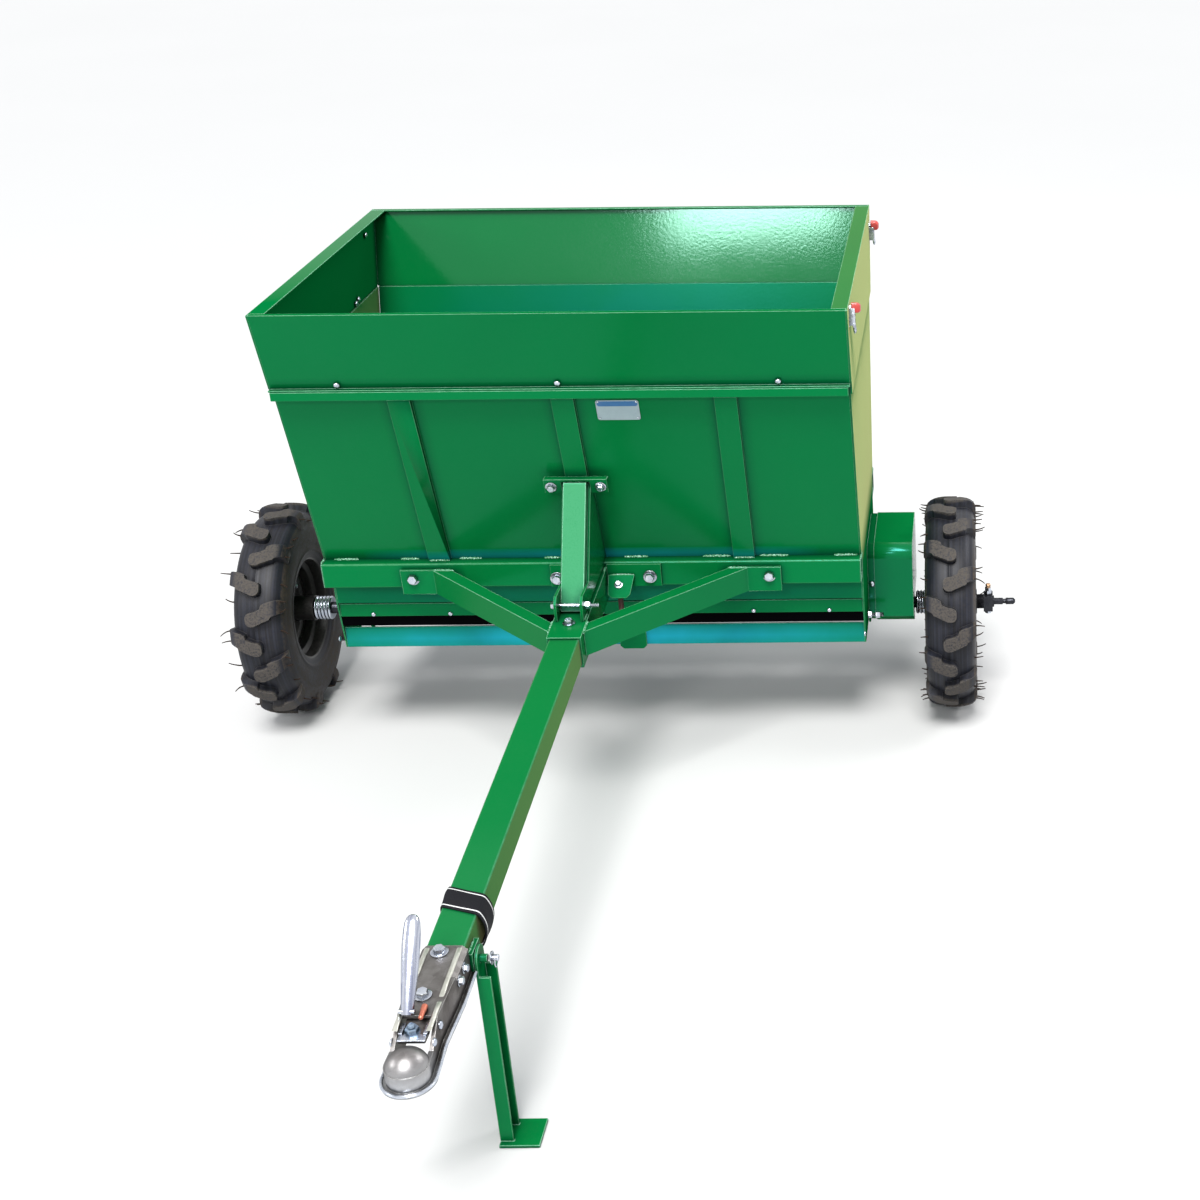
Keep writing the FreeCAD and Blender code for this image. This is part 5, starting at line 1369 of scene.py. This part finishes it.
def buildLegPin():
    # the hinge pin's head and end, with a split ring through it
    shape = bmesh.new()
    low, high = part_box("leg_bracket")
    centre = Vector((high.x + legPin["out"], (low.y + high.y) / 2, (low.z + high.z) / 2))
    addSpun(shape, legPin["head"], 24, frameOf(centre, (1, 0, 0)))
    out, radius, drop = legPin["ringOut"], legPin["ringRadius"], legPin["ringDrop"]
    ring = [centre + Vector((out, radius * math.sin(a), radius * math.cos(a) - drop))
            for a in (2 * math.pi * n / 18 for n in range(19))]
    addTube(shape, ring, [legPin["wire"]] * 19, 8)
    newObject("legPin", shape, "frame", "zinc")


buildSideFixings()
buildLockBolt()
buildLegPin()


adjuster = {"x": 0.054, "y": -0.262, "width": 0.0105, "lean": (0, -0.62, 0.78), "nut": (0.010, 0.0085)}


def buildAdjuster():
    # the screw that sets the feed slot, and its nut on the tab
    screw, nut = bmesh.new(), bmesh.new()
    tabLow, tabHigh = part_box("adjuster_tab")
    x, low = zero.x + adjuster["x"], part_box("upper_lip_front")[1].z
    foot = Vector((x, zero.y + adjuster["y"], low - 0.004))
    addThread(screw, foot, (0, 0, 1), adjuster["width"], tabLow.z + 0.010 - low)
    newObject("adjusterScrew", screw, "frame", "rust")
    seat = Vector((x, (tabLow.y + tabHigh.y) / 2 + 0.001, (tabLow.z + tabHigh.z) / 2 + 0.0045))
    addBolt(nut, seat, Vector(adjuster["lean"]).normalized(), *adjuster["nut"], 0.3)
    newObject("adjusterNut", nut, "frame", "zinc")


buildAdjuster()
print("side fittings ready")


# floor, light and camera
studio = {"floor": (0.565, 0.56, 0.55), "reach": 40.0, "world": 0.68, "sky": (0.88, 0.93, 1.0),
          "white": (0.97, 0.97, 0.97)}


def buildStage():
    shape = bmesh.new()
    bmesh.ops.create_grid(shape, x_segments=8, y_segments=8, size=studio["reach"])
    floor = bpy.data.objects.new("studioFloor", meshOf("studioFloor", shape))
    bpy.context.scene.collection.objects.link(floor)
    floor.location.z = -0.0006
    material, tree, shader = newMaterial("floorPaper", Roughness=0.9)
    shader.inputs["Specular IOR Level"].default_value = 0.1
    place = addNode(tree, "TexCoord")
    tone = noiseNode(tree, place.outputs["Object"], 0.8, 3, 0.5)
    darker = tuple(c * 0.97 for c in studio["floor"])
    tree.links.new(mixColours(tree, tone, studio["floor"], darker), shader.inputs["Base Color"])
    floor.data.materials.append(material)


def buildWorld():
    world = bpy.data.worlds.new("studio")
    bpy.context.scene.world = world
    world.use_nodes = True
    tree = world.node_tree
    back = tree.nodes["Background"]
    rays = addNode(tree, "LightPath")
    mirrored = mathNode(tree, "MAXIMUM", rays.outputs["Is Glossy Ray"], rays.outputs["Is Transmission Ray"])
    seen = mathNode(tree, "MAXIMUM", rays.outputs["Is Camera Ray"], mirrored)
    tree.links.new(mixColours(tree, seen, studio["sky"], studio["white"]), back.inputs["Color"])
    strength = mathNode(tree, "MULTIPLY_ADD", seen, 1.0 - studio["world"], studio["world"])
    tree.links.new(strength, back.inputs["Strength"])


lamps = {
    "window": {"at": (-0.27, -3.9, 2.69), "aim": (0.2, 0.3, 0.9), "size": (0.76, 0.52), "power": 46},
    "behind": {"at": (0.9, 3.2, 2.9), "aim": (0, 0.2, 0.7), "size": (1.6, 0.8), "power": 14},
    "side": {"at": (-3.2, -1.8, 2.0), "aim": (0, -0.4, 0.4), "size": (0.9, 1.6), "power": 30},
    "right": {"at": (3.0, 0.5, 2.7), "aim": (-0.4, 0.0, 0.85), "size": (0.9, 1.2), "power": 46},
}
sun = {"from": (0.0, -0.56, 1.0), "strength": 4.0, "softness": 24}


def placeLight(light, spot, direction):
    holder = bpy.data.objects.new(light.name, light)
    bpy.context.scene.collection.objects.link(holder)
    holder.matrix_world = frameOf(spot, direction)


def buildLamps():
    for name, lamp in lamps.items():
        light = bpy.data.lights.new(name, "AREA")
        light.shape = "RECTANGLE"
        light.size, light.size_y = lamp["size"]
        light.energy = lamp["power"]
        spot, aim = at(*lamp["at"]), at(*lamp["aim"])
        placeLight(light, spot, spot - aim)
    light = bpy.data.lights.new("ceiling", "SUN")
    light.energy, light.angle = sun["strength"], math.radians(sun["softness"])
    placeLight(light, at(0, 0, 5), Vector(sun["from"]))


view = {"eye": (0.75466, -3.59997, 1.91485), "down": 25.131, "turn": -0.2705, "roll": -0.4453,
        "lens": 57.095, "shift": (-0.3259, -0.0013)}


def buildCamera():
    data = bpy.data.cameras.new("camera")
    data.sensor_width, data.lens = 36.0, view["lens"]
    data.shift_x, data.shift_y = view["shift"]
    camera = bpy.data.objects.new("camera", data)
    bpy.context.scene.collection.objects.link(camera)
    turn, tip, roll = (math.radians(a) for a in (view["turn"], 90 - view["down"], view["roll"]))
    camera.matrix_world = (Matrix.Translation(at(*view["eye"])) @ Matrix.Rotation(turn, 4, "Z")
                           @ Matrix.Rotation(tip, 4, "X") @ Matrix.Rotation(roll, 4, "Z"))
    bpy.context.scene.camera = camera


buildStage()
buildWorld()
buildLamps()
buildCamera()
bpy.context.scene.view_settings.view_transform = "Standard"
print("stage, lamps and camera ready")
